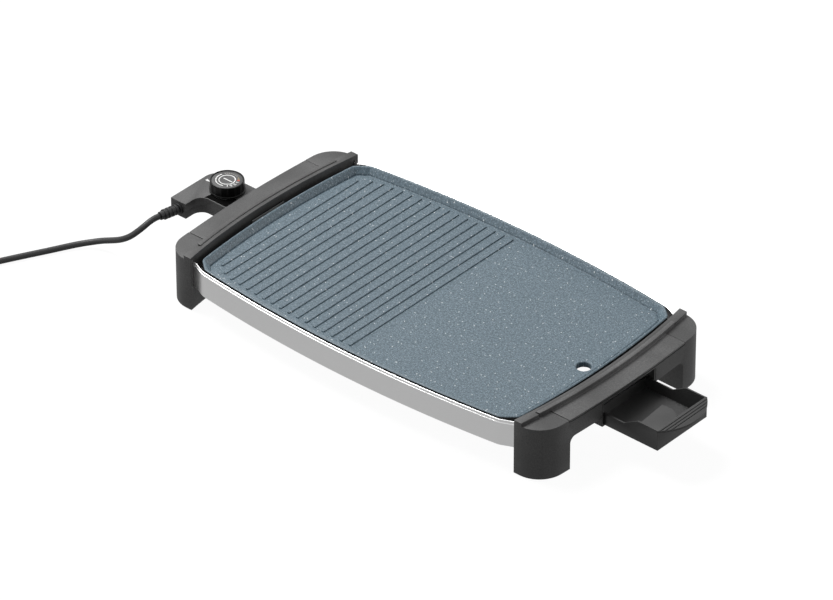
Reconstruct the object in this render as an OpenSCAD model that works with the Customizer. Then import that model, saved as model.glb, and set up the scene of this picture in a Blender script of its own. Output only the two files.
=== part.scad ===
// Table-top electric griddle: a cast plate, half ribbed and half flat, held between two
// end handles and two side bands, with a drip drawer and a plug-in temperature control.

/* [Griddle plate] */
// Length of the plate over its rim, along X
plate_length = 478; // [300:1:700]
// Width of the plate over its rim, along Y
plate_width = 307.2; // [200:1:450]
// Height of the rim above the table
rim_height = 64.6; // [40:0.1:100]
// Depth of the cooking floor below the rim
pan_depth = 7.2; // [4:0.1:15]
// Thickness of the cast floor
floor_thickness = 4.4; // [3:0.1:8]
// Bow radius of the long sides
side_bow_radius = 1724; // [800:1:4000]
// Bow radius of the short sides
end_bow_radius = 1087; // [500:1:3000]
// How much the chamfers take off the corners
plate_corner_cut = 25.42; // [10:0.01:50]
// Width of the top of the rim
rim_width = 3; // [1.5:0.1:8]
// Width of the slope inside the rim
rim_slope = 7; // [3:0.1:15]
// Diameter of the drain hole
drain_diameter = 17; // [8:0.1:30]
// Distance of the drain hole from the plate end
drain_end_distance = 22.5; // [16:0.1:40]
// Wall of the drain spout
spout_wall = 3; // [1.5:0.1:6]
// Reach of the spout below the cast floor
spout_drop = 2.5; // [1:0.1:3]

/* [Ribs] */
// Number of ribs
rib_count = 17; // [5:1:25]
// Spacing of the ribs
rib_pitch = 13.17; // [8:0.01:25]
// Distance from the middle to the nearest rib
rib_start = 2.6; // [0:0.1:20]
// Height of a rib
rib_height = 2.4; // [1:0.1:6]
// Width of a rib at its foot
rib_foot_width = 4.2; // [2:0.1:8]
// Width of a rib at its top
rib_top_width = 2.8; // [1:0.1:6]
// Distance of the rib ends from the long sides of the plate
rib_side_gap = 15.9; // [10:0.1:30]
// Distance of the rib ends from the corner chamfers
rib_corner_gap = 21; // [12:0.1:40]

/* [Side bands] */
// How far the outer face of a band stands outside the plate
band_offset = 2.7; // [2:0.1:6]
// How far the top edge of a band sits below the rim
band_drop = 0.3; // [0.1:0.1:3]
// Height of a band
band_height = 34.5; // [15:0.1:50]
// Thickness of a band
band_wall = 1.2; // [0.8:0.1:3]
// How much the chamfers take off the corners of the bands
band_corner_cut = 21.74; // [10:0.01:40]
// How far the band ends sit inside the ends of the handles
band_end_inset = 5.1; // [3:0.1:12]
// Height of a bead
bead_height = 3; // [1:0.1:6]
// Spacing of the two beads
bead_pitch = 4.7; // [3:0.1:10]
// How far a bead stands proud
bead_depth = 1.2; // [0.5:0.1:2]

/* [End handles] */
// Gap between the plate end and the inner face of a handle
handle_plate_gap = 8.5; // [4:0.1:20]
// Depth of a handle, along X
handle_depth = 33.8; // [28:0.1:60]
// Bow radius of the inner face
handle_inner_radius = 877; // [400:1:2500]
// Bow radius of the outer face
handle_outer_radius = 1515; // [600:1:4000]
// How far the ends of a handle sit inside the sides of the plate
handle_end_inset = 13; // [5:0.1:25]
// Radius of the outer corners
handle_corner_radius = 33; // [15:0.1:60]
// How far the broad top face stands above the rim
handle_rise = 1.4; // [0.5:0.1:10]
// How far the ridge beside the plate stands above the top face
ridge_rise = 4.3; // [2:0.1:10]
// Width of the ridge
ridge_width = 10; // [5:0.1:20]
// Width of the inner lip of the ridge
ridge_lip_width = 4.7; // [2:0.1:9]
// How far the cover ridge stands above the lip
cover_ridge_rise = 1; // [0.3:0.1:3]
// Wall of the handle mouldings
handle_wall = 2.5; // [1.5:0.1:4]
// Height of the finger gap under a handle
finger_gap_height = 42.4; // [25:0.1:60]
// Length of the foot block at each end of a handle, along Y
foot_block_length = 44.6; // [30:0.1:60]
// Radius of the upper corners of the finger gap
finger_gap_radius = 8; // [3:0.1:20]
// Distance from the end of a top cover to the end of the handle
cover_end_inset = 42.6; // [30:0.1:60]
// Distance from the end of the cover ridge to the end of the handle
cover_ridge_inset = 25.6; // [15:0.1:40]
// Depth of the ledge under the plate end
ledge_depth = 25; // [12:0.1:40]
// Distance from the end of the ledge to the end of the handle
ledge_inset = 20.6; // [10:0.1:40]
// Thickness of the ledge
ledge_thickness = 3; // [2:0.1:5]
// Gap between the ledge and the plate floor
ledge_gap = 3; // [1:0.1:6]

/* [Feet] */
// Height of the rubber feet
foot_height = 1; // [0.5:0.1:4]
// Diameter of the rubber feet
foot_diameter = 20; // [10:0.1:30]
// Distance of the feet from the inner face of a handle, along X
foot_setback = 8.5; // [5:0.1:20]
// Distance of the feet from the ends of a handle, along Y
foot_end_inset = 22.6; // [15:0.1:30]
// Diameter of the stem of a foot
foot_stem_diameter = 6; // [3:0.1:10]

/* [Drawer slot] */
// Width of the slot
slot_width = 86.6; // [50:0.1:140]
// Thickness of the handle over the slot
slot_roof_thickness = 5; // [4:0.1:10]
// Height of the slot
slot_height = 29.3; // [20:0.1:40]
// Wall of the slot guide
guide_wall = 1.5; // [1:0.1:3]
// How far the slot guide reaches past the drain hole
guide_reach = 24.5; // [15:0.1:50]
// Gap between the guide and the plate floor
guide_plate_gap = 3; // [1:0.1:6]
// Gap between the guide and the handle, on each side
guide_side_gap = 0.75; // [0.3:0.05:2]
// How far the mouth of the guide sits behind the handle's face
guide_recess = 0.8; // [0.3:0.1:3]
// Width of the two runners behind the slot floor
runner_width = 6; // [3:0.1:12]
// How far the slot floor reaches behind the handle
guide_floor_reach = 9.5; // [5:0.1:20]

/* [Drip tray] */
// Length of the tray, along X
tray_length = 86; // [50:0.1:140]
// Gap between the tray and the slot, on each side
tray_side_gap = 1.3; // [0.5:0.1:3]
// Height of the tray front
tray_height = 26; // [15:0.1:28]
// Height of the low rear walls
tray_rear_height = 15; // [8:0.1:20]
// Length of the low part of the side walls
tray_low_length = 39; // [20:0.1:70]
// Where the side walls reach the full height
tray_slope_end = 58; // [30:0.1:80]
// Wall of the tray
tray_wall = 1.8; // [1:0.1:3]
// How far the grip lip stands forward
lip_reach = 18; // [8:0.1:30]
// Thickness of the grip lip
lip_thickness = 2.4; // [1.5:0.1:4]
// Number of grip grooves
groove_count = 3; // [1:1:6]
// Spacing of the grip grooves
groove_pitch = 3.9; // [2:0.1:6]
// Width of a grip groove
groove_width = 1.4; // [0.6:0.1:3]
// Depth of a grip groove
groove_depth = 0.8; // [0.3:0.1:1.5]
// Length of the tray that is still in its slot as drawn
tray_engaged = 12; // [5:0.1:80]

/* [Temperature control] */
// Distance from the dial axis to the outer side of the control
control_end_length = 38.5; // [30:0.1:60]
// Width of the arm that the cord leaves
control_arm_width = 22.5; // [15:0.1:40]
// Where the arm ends, along Y
control_arm_end = 52.5; // [30:0.1:90]
// Near side of the plug-in leg, along Y
control_leg_near = 27.5; // [18:0.1:45]
// Far side of the plug-in leg, along Y
control_leg_far = 23.7; // [16:0.1:40]
// Distance from the nose of the leg to the inner face of the handle
control_nose_gap = 4.5; // [2:0.1:10]
// How far the underside lies below the terminals
control_drop = 5.9; // [5:0.1:10]
// Height of the lower shell
control_lower_height = 9.8; // [8:0.1:14]
// Height of the two shells together
control_height = 19.6; // [17:0.1:30]
// Wall of the control shells
control_wall = 2.2; // [1.5:0.1:3.5]
// Radius of the outer corner
control_corner_radius = 18; // [8:0.1:25]
// Radius of the inner corner
control_inside_radius = 13; // [5:0.1:20]
// Diameter of the collar under the dial
collar_diameter = 39; // [25:0.1:50]
// Height of the collar
collar_height = 1; // [0.4:0.1:3]

/* [Dial] */
// Gap between the dial and the handle
dial_handle_gap = 8.8; // [3:0.1:20]
// Diameter of the dial
dial_diameter = 37.8; // [25:0.1:50]
// Height of the dial above the control
dial_rise = 15; // [8:0.1:25]
// Diameter of the printed face of the dial
dial_face_diameter = 34; // [20:0.1:46]
// Thickness of the face
dial_face_thickness = 0.8; // [0.4:0.1:2]
// Number of grip flutes round the dial
flute_count = 40; // [12:1:60]
// Radius of a flute
flute_radius = 0.9; // [0.4:0.1:2]
// Diameter of the dial shaft
shaft_diameter = 6; // [4:0.1:10]

/* [Heating element and terminals] */
// Diameter of the element sheath
element_diameter = 7; // [5:0.1:10]
// Distance from the element loop to the sides of the plate
element_side_gap = 58.6; // [40:0.1:70]
// Distance from the far end of the element loop to the plate end
element_far_gap = 89; // [60:0.1:120]
// Distance from the near run of the element to the plate end
element_near_gap = 49; // [40:0.1:60]
// Bend radius of the element
element_bend = 22; // [12:0.1:40]
// Width of the cast bead over the element
element_bead_width = 14; // [9:0.1:20]
// Depth of the element and the terminals below the cast floor
terminal_drop = 6.7; // [5:0.1:8]
// Half spacing of the two terminal pins
terminal_half_spacing = 13; // [9:0.1:18]
// Middle of the terminals, along Y
terminal_middle = -1.9; // [-10:0.1:10]
// Diameter of a terminal pin
pin_diameter = 4.8; // [3:0.1:6]
// How far the terminal pins reach into the control
pin_engagement = 10; // [6:0.1:15]
// Diameter of the insulators
insulator_diameter = 8; // [6:0.1:12]
// Length of the insulators
insulator_length = 12; // [6:0.1:20]
// Diameter of the heat probe
probe_diameter = 5; // [3:0.1:8]
// Distance from the tip of the heat probe to the plate end
probe_tip_inset = 33; // [20:0.1:36]
// Outer diameter of the probe sleeve
sleeve_diameter = 8; // [6:0.1:12]
// Length of the probe sleeve
sleeve_length = 40; // [20:0.1:70]
// Diameter of the contact sleeves in the control
contact_diameter = 6.8; // [5:0.1:7.4]

/* [Heat shield and fixings] */
// Depth of the underside of the shield below the cast floor
shield_depth = 17; // [12:0.1:25]
// Thickness of the shield
shield_wall = 1; // [0.5:0.1:2]
// Distance from the ends of the shield to the plate ends
shield_end_gap = 21; // [10:0.1:40]
// Distance from the sides of the shield to the plate sides
shield_side_gap = 15.6; // [8:0.1:30]
// Width of the vents in the shield
vent_width = 5; // [3:0.1:10]
// Length of the vents in the shield
vent_length = 60; // [20:0.1:90]
// Diameter of the screw shanks
screw_diameter = 3.2; // [2:0.1:5]
// Diameter of the screw heads
screw_head_diameter = 7; // [5:0.1:10]
// Height of the screw heads
screw_head_height = 2; // [1:0.1:4]

/* [Cord and plug] */
// Diameter of the cord
cord_diameter = 7.2; // [5:0.1:9]
// Length of the strain relief outside the control
relief_length = 26; // [20:0.1:60]
// Angle at which the strain relief leaves the control
relief_angle = 12; // [0:1:20]
// Radius of the coil at the middle of its turns
coil_radius = 39; // [30:0.1:60]
// Spacing of the turns in the coil
coil_pitch = 8; // [7.8:0.1:12]
// Length of the plug body
plug_length = 34; // [25:0.1:50]
// Diameter of the plug body
plug_diameter = 37; // [25:0.1:45]
// Length of a plug pin
plug_pin_length = 19; // [12:0.1:25]
// Half spacing of the plug pins
plug_pin_half_spacing = 9.5; // [6:0.1:12]

/* [Hidden] */
$fn = 96;
bow_facets = 360;
plate_corner_angle = 51.1;
band_corner_angle = 65.5;
cut_margin = 1;
seat_gap = 0.2;
slide_gap = 0.3;
bore_gap = 0.1;
overhang = 20;
wide = plate_length;

plate_under = rim_height - pan_depth - floor_thickness;
plate_floor = rim_height - pan_depth;
plate_corner_reach = plate_length / 2 * cos(plate_corner_angle)
    + plate_width / 2 * sin(plate_corner_angle) - plate_corner_cut;
drain_offset = plate_length / 2 - drain_end_distance;
drain_outer = drain_diameter + 2 * spout_wall;
plate_boss_radius = 5;

handle_inner_reach = plate_length / 2 + handle_plate_gap;
handle_outer_reach = handle_inner_reach + handle_depth;
handle_length = plate_width - 2 * handle_end_inset;
handle_top = rim_height + handle_rise;
ridge_top = handle_top + ridge_rise;
handle_centre = handle_outer_reach - handle_outer_radius;
corner_centre_y = handle_length / 2 - handle_corner_radius;
corner_centre_run = sqrt(pow(handle_outer_radius - handle_corner_radius, 2) - pow(corner_centre_y, 2));
corner_centre_x = handle_centre + corner_centre_run;
finger_gap_width = handle_length - 2 * foot_block_length;
foot_reach_x = handle_inner_reach + foot_setback;
foot_reach_y = handle_length / 2 - foot_end_inset;
cover_length = handle_length - 2 * cover_end_inset;
cover_ridge_length = handle_length - 2 * cover_ridge_inset;
cover_underside = handle_top - handle_wall;
trough_floor = finger_gap_height + handle_wall;
ledge_top = plate_under - ledge_gap;
ledge_length = handle_length - 2 * ledge_inset;
plate_screw_inset = 18.5;
plate_screw_end_inset = 55.6;
plate_screw_x = handle_inner_reach - plate_screw_inset;
plate_screw_y = handle_length / 2 - plate_screw_end_inset;

band_reach = plate_width / 2 + band_offset;
band_top = rim_height - band_drop;
band_bottom = band_top - band_height;
band_corner_reach = plate_length / 2 * cos(band_corner_angle)
    + band_reach * sin(band_corner_angle) - band_corner_cut;
band_end_reach = handle_length / 2 - band_end_inset;

slot_roof = handle_top - slot_roof_thickness;
slot_floor = slot_roof - slot_height;
guide_outer = slot_width / 2 + guide_wall;
bay_half_width = guide_outer + guide_side_gap;
guide_back = drain_offset - guide_reach;
guide_low_top = plate_under - guide_plate_gap;
guide_high_reach = 4.5;
guide_high_start = handle_inner_reach - guide_high_reach;
guide_floor_back = handle_inner_reach - guide_floor_reach;
guide_front = handle_outer_reach - guide_recess;
ear_setback = 10.5;
ear_length = 14;
ear_width = 9;
ear_start = handle_inner_reach + ear_setback;
ear_end = ear_start + ear_length;
boss_radius = 4.5;
cover_boss_setback = 19.5;
cover_boss_x = handle_inner_reach + cover_boss_setback;
cover_boss_y = (guide_outer + ear_width + cover_length / 2) / 2;

tray_width = slot_width - 2 * tray_side_gap;
tray_bottom = slot_floor + slide_gap;
tray_rear = handle_outer_reach - tray_engaged;
tray_front = tray_rear + tray_length + lip_reach;
lip_radius = (pow(tray_width / 2, 2) + pow(lip_reach, 2)) / (2 * lip_reach);
deck_depth = 28;
deck_tip_depth = 24.5;
deck_near_depth = 15;
deck_middle = 0.6;
deck_shoulder_depth = 2.7;
deck_shoulder_y = 5.8;

terminal_height = plate_under - terminal_drop;
element_bead_bottom = terminal_height;
element_half_width = plate_width / 2 - element_side_gap;
element_far = plate_length / 2 - element_far_gap;
element_near = plate_length / 2 - element_near_gap;
element_left = terminal_middle - terminal_half_spacing;
element_right = terminal_middle + terminal_half_spacing;
terminal_inset = 1;
element_start = plate_length / 2 - terminal_inset;
element_turn = element_near + element_bend;
insulator_gap = 0.5;
insulator_start = element_start + insulator_gap;
probe_tip = plate_length / 2 - probe_tip_inset;
bracket_inset = 3;
bracket_front = handle_inner_reach - bracket_inset;
bracket_thickness = 1.5;
bracket_low = finger_gap_height;
bracket_probe_gap = 2;

shield_bottom = plate_under - shield_depth;
shield_length = plate_length - 2 * shield_end_gap;
shield_width = plate_width - 2 * shield_side_gap;
shield_notch_gap = 2;
shield_screw_inset_x = 40;
shield_screw_inset_y = 35;
shield_screw_x = element_far - shield_screw_inset_x;
shield_screw_y = element_half_width - shield_screw_inset_y;

dial_reach = handle_outer_reach + dial_handle_gap + dial_diameter / 2;
control_reach = dial_reach + control_end_length;
control_nose_reach = handle_inner_reach + control_nose_gap;
control_bottom = terminal_height - control_drop;
control_split = control_bottom + control_lower_height;
control_top = control_bottom + control_height;
dial_top = control_top + dial_rise;
assembly_x = (control_reach - tray_front) / 2;
socket_gap = 1;
socket_top = control_top + 2 * slide_gap;
socket_near = control_leg_near + socket_gap;
socket_far = control_leg_far + socket_gap;
leg_start = control_reach - control_corner_radius;
arm_inner = control_reach - control_arm_width;
control_boss_radius = 3;
control_boss_inset = 6.6;
arm_boss_inset = 16.5;
corner_boss_inset = 13.6;
nose_boss_offset = 2.7;
control_screw_points = [
    [control_arm_width / 2 - control_reach, arm_boss_inset - control_arm_end],
    [corner_boss_inset - control_reach, control_leg_far - corner_boss_inset],
    [-handle_outer_reach - nose_boss_offset, control_leg_far - control_boss_inset],
    [-handle_outer_reach - nose_boss_offset, control_boss_inset - control_leg_near]
];
pin_reach = control_nose_reach + pin_engagement;
contact_inset = 2.5;
contact_length = 21.5;
contact_start = control_nose_reach + contact_inset;
contact_end = contact_start + contact_length;
switch_inner_length = 17;
switch_outer_length = 15;
switch_half_width = 11;
switch_head_room = 3.2;
switch_start = dial_reach - switch_inner_length;
switch_end = dial_reach + switch_outer_length;
switch_top = control_top - control_wall - switch_head_room;

relief_inset = 12;
relief_x = relief_inset - control_reach;
relief_height = control_split;
relief_neck_radius = 5.2;
relief_base_radius = 6.6;
relief_tip_radius = 4.9;
relief_collar = 2.4;
relief_rib_count = 4;
relief_rib_width = 2.6;
relief_rib_pitch = 5;
relief_rib_height = 1;
relief_flange = 1.4;
cord_radius = cord_diameter / 2;
cord_sides = 12;
coil_sides = 6;
coil_clearance = 1.1;
coil_low = cord_radius + coil_clearance;
coil_high = coil_low + coil_pitch;
rings_per_turn = 24;
layer_turns = 1.75;
climb_turns = 0.5;
coil_start_angle = -29;
cord_route = [
    [-341, -78.3, 50.2], [-342.4, -85, 50], [-343.5, -92.5, 48.6], [-345.5, -100, 45],
    [-349.5, -106, 39.8], [-355.5, -110.5, 33.5], [-364, -112.5, 27], [-374, -113, 21],
    [-385.5, -113.3, 15.5], [-397, -115, 10.8], [-408, -120.5, 7], [-418.5, -131, 4.9],
    [-427.5, -145, 4], [-436, -161, 3.8], [-445, -178, 3.8], [-454, -195, 3.8],
    [-463, -212.5, 3.8], [-472, -230, 3.9], [-480.5, -246, 4.3], [-486.4, -256.6, 4.7],
    [-489.8, -262.7, 4.7]
];
lead_route = [
    [-490.1, -263.2, 12.7], [-493.3, -269, 12.7], [-498, -277.5, 13.6], [-503.5, -287.4, 15.7],
    [-509, -297.3, 17.8], [-513.6, -305.6, 18.6], [-517, -311.7, 18.6]
];
cord_end = cord_route[len(cord_route) - 1];
coil_outer = coil_radius + coil_pitch * layer_turns / 2;
coil_x = cord_end[0] + slide_gap * sin(coil_start_angle) - coil_outer * cos(coil_start_angle);
coil_y = cord_end[1] - slide_gap * cos(coil_start_angle) - coil_outer * sin(coil_start_angle);
plug_x = -517.1;
plug_y = -311.9;
plug_angle = -119;
plug_neck_length = 22;
plug_neck_radius = 5;
plug_shoulder_radius = 9;
plug_taper = 14;
tie_width = 7;
tie_wall = 0.8;

module placed() {
    translate([assembly_x, 0, 0])
        children();
}

module slab(low, high) {
    translate([0, 0, low])
        linear_extrude(high - low)
            children();
}

module four_corners(reach_x, reach_y) {
    for (side_x = [-1, 1])
        for (side_y = [-1, 1])
            translate([side_x * reach_x, side_y * reach_y, 0])
                children();
}

module bar_x(from, to, y, z, diameter) {
    translate([from, y, z])
        rotate([0, 90, 0])
            cylinder(h = to - from, d = diameter);
}

// Plan of a bowed rectangle with chamfered corners
module bowed_plan(half_x, half_y, corner_reach, corner_angle, inset) {
    intersection() {
        translate([0, half_y - side_bow_radius])
            circle(r = side_bow_radius - inset, $fn = bow_facets);
        translate([0, side_bow_radius - half_y])
            circle(r = side_bow_radius - inset, $fn = bow_facets);
        translate([half_x - end_bow_radius, 0])
            circle(r = end_bow_radius - inset, $fn = bow_facets);
        translate([end_bow_radius - half_x, 0])
            circle(r = end_bow_radius - inset, $fn = bow_facets);
        rotate(corner_angle)
            square([2 * (corner_reach - inset), wide * 2], center = true);
        rotate(-corner_angle)
            square([2 * (corner_reach - inset), wide * 2], center = true);
    }
}

module plate_plan(inset) {
    bowed_plan(plate_length / 2, plate_width / 2, plate_corner_reach, plate_corner_angle, inset);
}

// Loop of the element, swept with the given diameter
module element_path(diameter) {
    near_y = element_half_width - element_bend;
    bar_x(-element_start, -element_turn, element_right, terminal_height, diameter);
    bar_x(-element_start, -element_turn, element_left, terminal_height, diameter);
    element_corner(-element_turn, element_right + element_bend, 270, diameter);
    element_corner(-element_turn, element_left - element_bend, 0, diameter);
    element_run(-element_near, element_right + element_bend, near_y, diameter);
    element_run(-element_near, -near_y, element_left - element_bend, diameter);
    element_corner(element_bend - element_near, near_y, 90, diameter);
    element_corner(element_bend - element_near, -near_y, 180, diameter);
    bar_x(element_bend - element_near, element_far - element_bend, element_half_width,
        terminal_height, diameter);
    bar_x(element_bend - element_near, element_far - element_bend, -element_half_width,
        terminal_height, diameter);
    element_corner(element_far - element_bend, near_y, 0, diameter);
    element_corner(element_far - element_bend, -near_y, 270, diameter);
    element_run(element_far, -near_y, near_y, diameter);
}

module element_corner(x, y, start, diameter) {
    translate([x, y, terminal_height])
        rotate(start)
            rotate_extrude(angle = 90)
                translate([element_bend, 0])
                    circle(d = diameter);
}

module element_run(x, from, to, diameter) {
    translate([x, from, terminal_height])
        rotate([-90, 0, 0])
            cylinder(h = to - from, d = diameter);
}

// Flat loop of the cast bead that covers the element
module bead_plan() {
    half = element_bead_width / 2;
    difference() {
        translate([-element_near - half, -element_half_width - half])
            square([element_near + element_far + element_bead_width,
                2 * element_half_width + element_bead_width]);
        translate([half - element_near, half - element_half_width])
            square([element_near + element_far - element_bead_width,
                2 * element_half_width - element_bead_width]);
    }
}

module griddle_plate() {
    color("DimGray")
        placed() {
            difference() {
                union() {
                    slab(plate_under, rim_height)
                        plate_plan(0);
                    slab(element_bead_bottom, plate_under + cut_margin)
                        bead_plan();
                    slab(plate_under - spout_drop, plate_under + cut_margin)
                        translate([drain_offset, 0])
                            circle(d = drain_outer);
                    plate_bosses();
                    probe_boss();
                }
                pan_recess();
                slab(shield_bottom, rim_height)
                    translate([drain_offset, 0])
                        circle(d = drain_diameter);
                element_path(element_diameter + 2 * bore_gap);
                bar_x(-element_start, -probe_tip + sleeve_diameter, terminal_middle,
                    terminal_height, sleeve_diameter + 2 * bore_gap);
                plate_screw_holes();
            }
            ribs();
        }
}

module pan_recess() {
    hull() {
        slab(plate_floor, plate_floor + seat_gap)
            plate_plan(rim_width + rim_slope);
        slab(rim_height, rim_height + seat_gap)
            plate_plan(rim_width);
    }
}

module plate_bosses() {
    slab(ledge_top, plate_under + cut_margin)
        four_corners(plate_screw_x, plate_screw_y)
            circle(r = plate_boss_radius);
    slab(shield_bottom + shield_wall, plate_under + cut_margin)
        four_corners(shield_screw_x, shield_screw_y)
            circle(r = plate_boss_radius);
}

module plate_screw_holes() {
    slab(ledge_top - cut_margin, plate_under + floor_thickness / 2)
        four_corners(plate_screw_x, plate_screw_y)
            circle(d = screw_diameter + 2 * bore_gap);
    slab(shield_bottom, plate_under)
        four_corners(shield_screw_x, shield_screw_y)
            circle(d = screw_diameter + 2 * bore_gap);
}

module probe_boss() {
    half = sleeve_diameter / 2 + spout_wall;
    slab(terminal_height - half, plate_under + cut_margin)
        translate([-sleeve_length - probe_tip + sleeve_diameter + spout_wall, terminal_middle - half])
            square([sleeve_length - half, 2 * half]);
}

// Straight ribs that end at a set distance from the sides and the chamfers
module ribs() {
    intersection() {
        for (i = [0:rib_count - 1])
            translate([-rib_start - i * rib_pitch, 0, plate_floor])
                rotate([90, 0, 0])
                    linear_extrude(plate_width, center = true)
                        polygon([
                            [-rib_foot_width / 2, -bore_gap],
                            [rib_foot_width / 2, -bore_gap],
                            [rib_top_width / 2, rib_height],
                            [-rib_top_width / 2, rib_height]
                        ]);
        slab(plate_under, rim_height)
            bowed_plan(plate_length / 2, plate_width / 2,
                plate_corner_reach - rib_corner_gap + rib_side_gap, plate_corner_angle, rib_side_gap);
    }
}

// Plan of the drawer-end handle, with its bowed inner and outer faces
module handle_plan(inset) {
    tangent_y = corner_centre_y
        + (handle_corner_radius - inset) * corner_centre_y / (handle_outer_radius - handle_corner_radius);
    difference() {
        union() {
            intersection() {
                translate([handle_centre, 0])
                    circle(r = handle_outer_radius - inset, $fn = bow_facets);
                translate([handle_inner_reach / 2, -tangent_y])
                    square([handle_inner_reach, 2 * tangent_y]);
            }
            for (side = [-1, 1])
                translate([corner_centre_x, side * corner_centre_y])
                    circle(r = handle_corner_radius - inset);
            translate([handle_inner_reach / 2, inset - handle_length / 2])
                square([corner_centre_x - handle_inner_reach / 2, handle_length - 2 * inset]);
        }
        translate([handle_inner_reach - handle_inner_radius, 0])
            circle(r = handle_inner_radius + inset, $fn = bow_facets);
    }
}

module beyond_inner(distance) {
    difference() {
        handle_plan(0);
        translate([handle_inner_reach - handle_inner_radius, 0])
            circle(r = handle_inner_radius + distance, $fn = bow_facets);
    }
}

module within_inner(distance) {
    intersection() {
        handle_plan(0);
        translate([handle_inner_reach - handle_inner_radius, 0])
            circle(r = handle_inner_radius + distance, $fn = bow_facets);
    }
}

module across(half_y) {
    intersection() {
        children();
        translate([0, -half_y])
            square([2 * handle_outer_reach, 2 * half_y]);
    }
}

module outside(half_y) {
    difference() {
        children();
        translate([0, -half_y])
            square([2 * handle_outer_reach, 2 * half_y]);
    }
}

// One hollow end handle: a trough under the cover, with a foot at each end
module handle_shell() {
    difference() {
        union() {
            slab(foot_height, handle_top)
                handle_plan(0);
            slab(handle_top, ridge_top)
                within_inner(ridge_width);
            slab(ledge_top - ledge_thickness, ledge_top)
                ledge_plan();
        }
        finger_gap();
        slab(trough_floor, cover_underside)
            handle_plan(handle_wall);
        slab(foot_height + handle_wall, cover_underside)
            outside(finger_gap_width / 2 + handle_wall)
                handle_plan(handle_wall);
        slab(cover_underside - cut_margin, ridge_top + cut_margin)
            across(cover_length / 2 + seat_gap)
                beyond_inner(ridge_lip_width);
        slab(handle_top, ridge_top + cut_margin)
            across(cover_ridge_length / 2 + seat_gap)
                beyond_inner(ridge_lip_width);
        handle_holes();
        band_slots();
    }
}

module ledge_plan() {
    translate([handle_inner_reach - ledge_depth, -ledge_length / 2])
        square([ledge_depth, ledge_length]);
}

module finger_gap() {
    half = finger_gap_width / 2;
    translate([handle_inner_reach / 2, 0, 0])
        rotate([90, 0, 90])
            linear_extrude(handle_inner_reach) {
                translate([-half, -overhang])
                    square([2 * half, finger_gap_height - finger_gap_radius + overhang]);
                translate([finger_gap_radius - half, 0])
                    square([2 * (half - finger_gap_radius), finger_gap_height]);
                for (side = [-1, 1])
                    translate([side * (half - finger_gap_radius), finger_gap_height - finger_gap_radius])
                        circle(r = finger_gap_radius);
            }
}

module handle_holes() {
    slab(0, trough_floor + cut_margin)
        for (side = [-1, 1])
            translate([foot_reach_x, side * foot_reach_y])
                circle(d = foot_stem_diameter + 2 * bore_gap);
    slab(finger_gap_height - cut_margin, trough_floor + cut_margin)
        for (side = [-1, 1])
            translate([cover_boss_x, side * cover_boss_y])
                circle(d = screw_diameter + 2 * bore_gap);
    slab(ledge_top - ledge_thickness - cut_margin, ledge_top + cut_margin)
        for (side = [-1, 1])
            translate([plate_screw_x, side * plate_screw_y])
                circle(d = screw_diameter + 2 * bore_gap);
}

// Slots in the inner face that take the ends of the side bands
module band_slots() {
    slab(band_bottom - slide_gap, band_top + slide_gap)
        for (side = [-1, 1])
            translate([handle_inner_reach - ledge_depth, side * (band_end_reach - band_wall / 2)])
                square([2 * (ledge_depth - handle_wall), band_wall + 2 * slide_gap], center = true);
}

module handle_drawer_end() {
    color("DarkSlateGray")
        placed()
            difference() {
                handle_shell();
                translate([handle_inner_reach - 2 * ledge_depth, -bay_half_width, 0])
                    cube([4 * ledge_depth, 2 * bay_half_width, slot_roof]);
                slab(finger_gap_height - cut_margin, trough_floor + cut_margin)
                    guide_screw_points()
                        circle(d = screw_diameter + 2 * bore_gap);
            }
}

module handle_socket_end() {
    color("DarkSlateGray")
        placed()
            difference() {
                mirror([1, 0, 0])
                    handle_shell();
                translate([-handle_outer_reach - overhang, -socket_near, 0])
                    cube([ledge_depth + handle_outer_reach - bracket_front + handle_wall,
                        socket_near + socket_far, socket_top]);
                translate([-handle_inner_reach - handle_wall - cut_margin, -socket_near, 0])
                    cube([2 * ledge_depth, socket_near + socket_far, socket_top]);
            }
}

module handle_cover() {
    difference() {
        union() {
            slab(cover_underside, handle_top)
                across(cover_length / 2)
                    beyond_inner(ridge_lip_width + seat_gap);
            slab(handle_top, ridge_top + cover_ridge_rise)
                across(cover_ridge_length / 2)
                    intersection() {
                        beyond_inner(ridge_lip_width + seat_gap);
                        within_inner(ridge_width);
                    }
            slab(trough_floor, handle_top - cut_margin)
                for (side = [-1, 1])
                    translate([cover_boss_x, side * cover_boss_y])
                        circle(r = boss_radius);
        }
        slab(trough_floor - cut_margin, cover_underside - handle_wall)
            for (side = [-1, 1])
                translate([cover_boss_x, side * cover_boss_y])
                    circle(d = screw_diameter + 2 * bore_gap);
    }
}

module handle_cover_drawer_end() {
    color("SlateGray")
        placed()
            handle_cover();
}

module handle_cover_socket_end() {
    color("SlateGray")
        placed()
            mirror([1, 0, 0])
                handle_cover();
}

module band_plan(inset) {
    bowed_plan(plate_length, band_reach, band_corner_reach, band_corner_angle, inset);
    square([2 * (handle_inner_reach - handle_wall * 2), 2 * (band_end_reach - inset)], center = true);
}

module band_wall_plan(outer_inset, inner_inset) {
    intersection() {
        difference() {
            band_plan(outer_inset);
            band_plan(inner_inset);
        }
        translate([-wide / 2 - overhang, -wide])
            square([wide + 2 * overhang, wide - band_end_reach + 3 * band_wall]);
        translate([-handle_inner_reach + 2 * handle_wall, -wide])
            square([2 * (handle_inner_reach - 2 * handle_wall), wide]);
    }
}

// Side band with two beads along its top edge
module side_band() {
    slab(band_bottom, band_top)
        band_wall_plan(0, band_wall);
    for (i = [0, 1])
        slab(band_top - bead_height - i * bead_pitch, band_top - i * bead_pitch)
            intersection() {
                band_wall_plan(-bead_depth, band_wall / 2);
                translate([0, -wide / 2])
                    square([wide - 2 * ridge_width, wide], center = true);
            }
}

module side_band_front() {
    color("Silver")
        placed()
            side_band();
}

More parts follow.
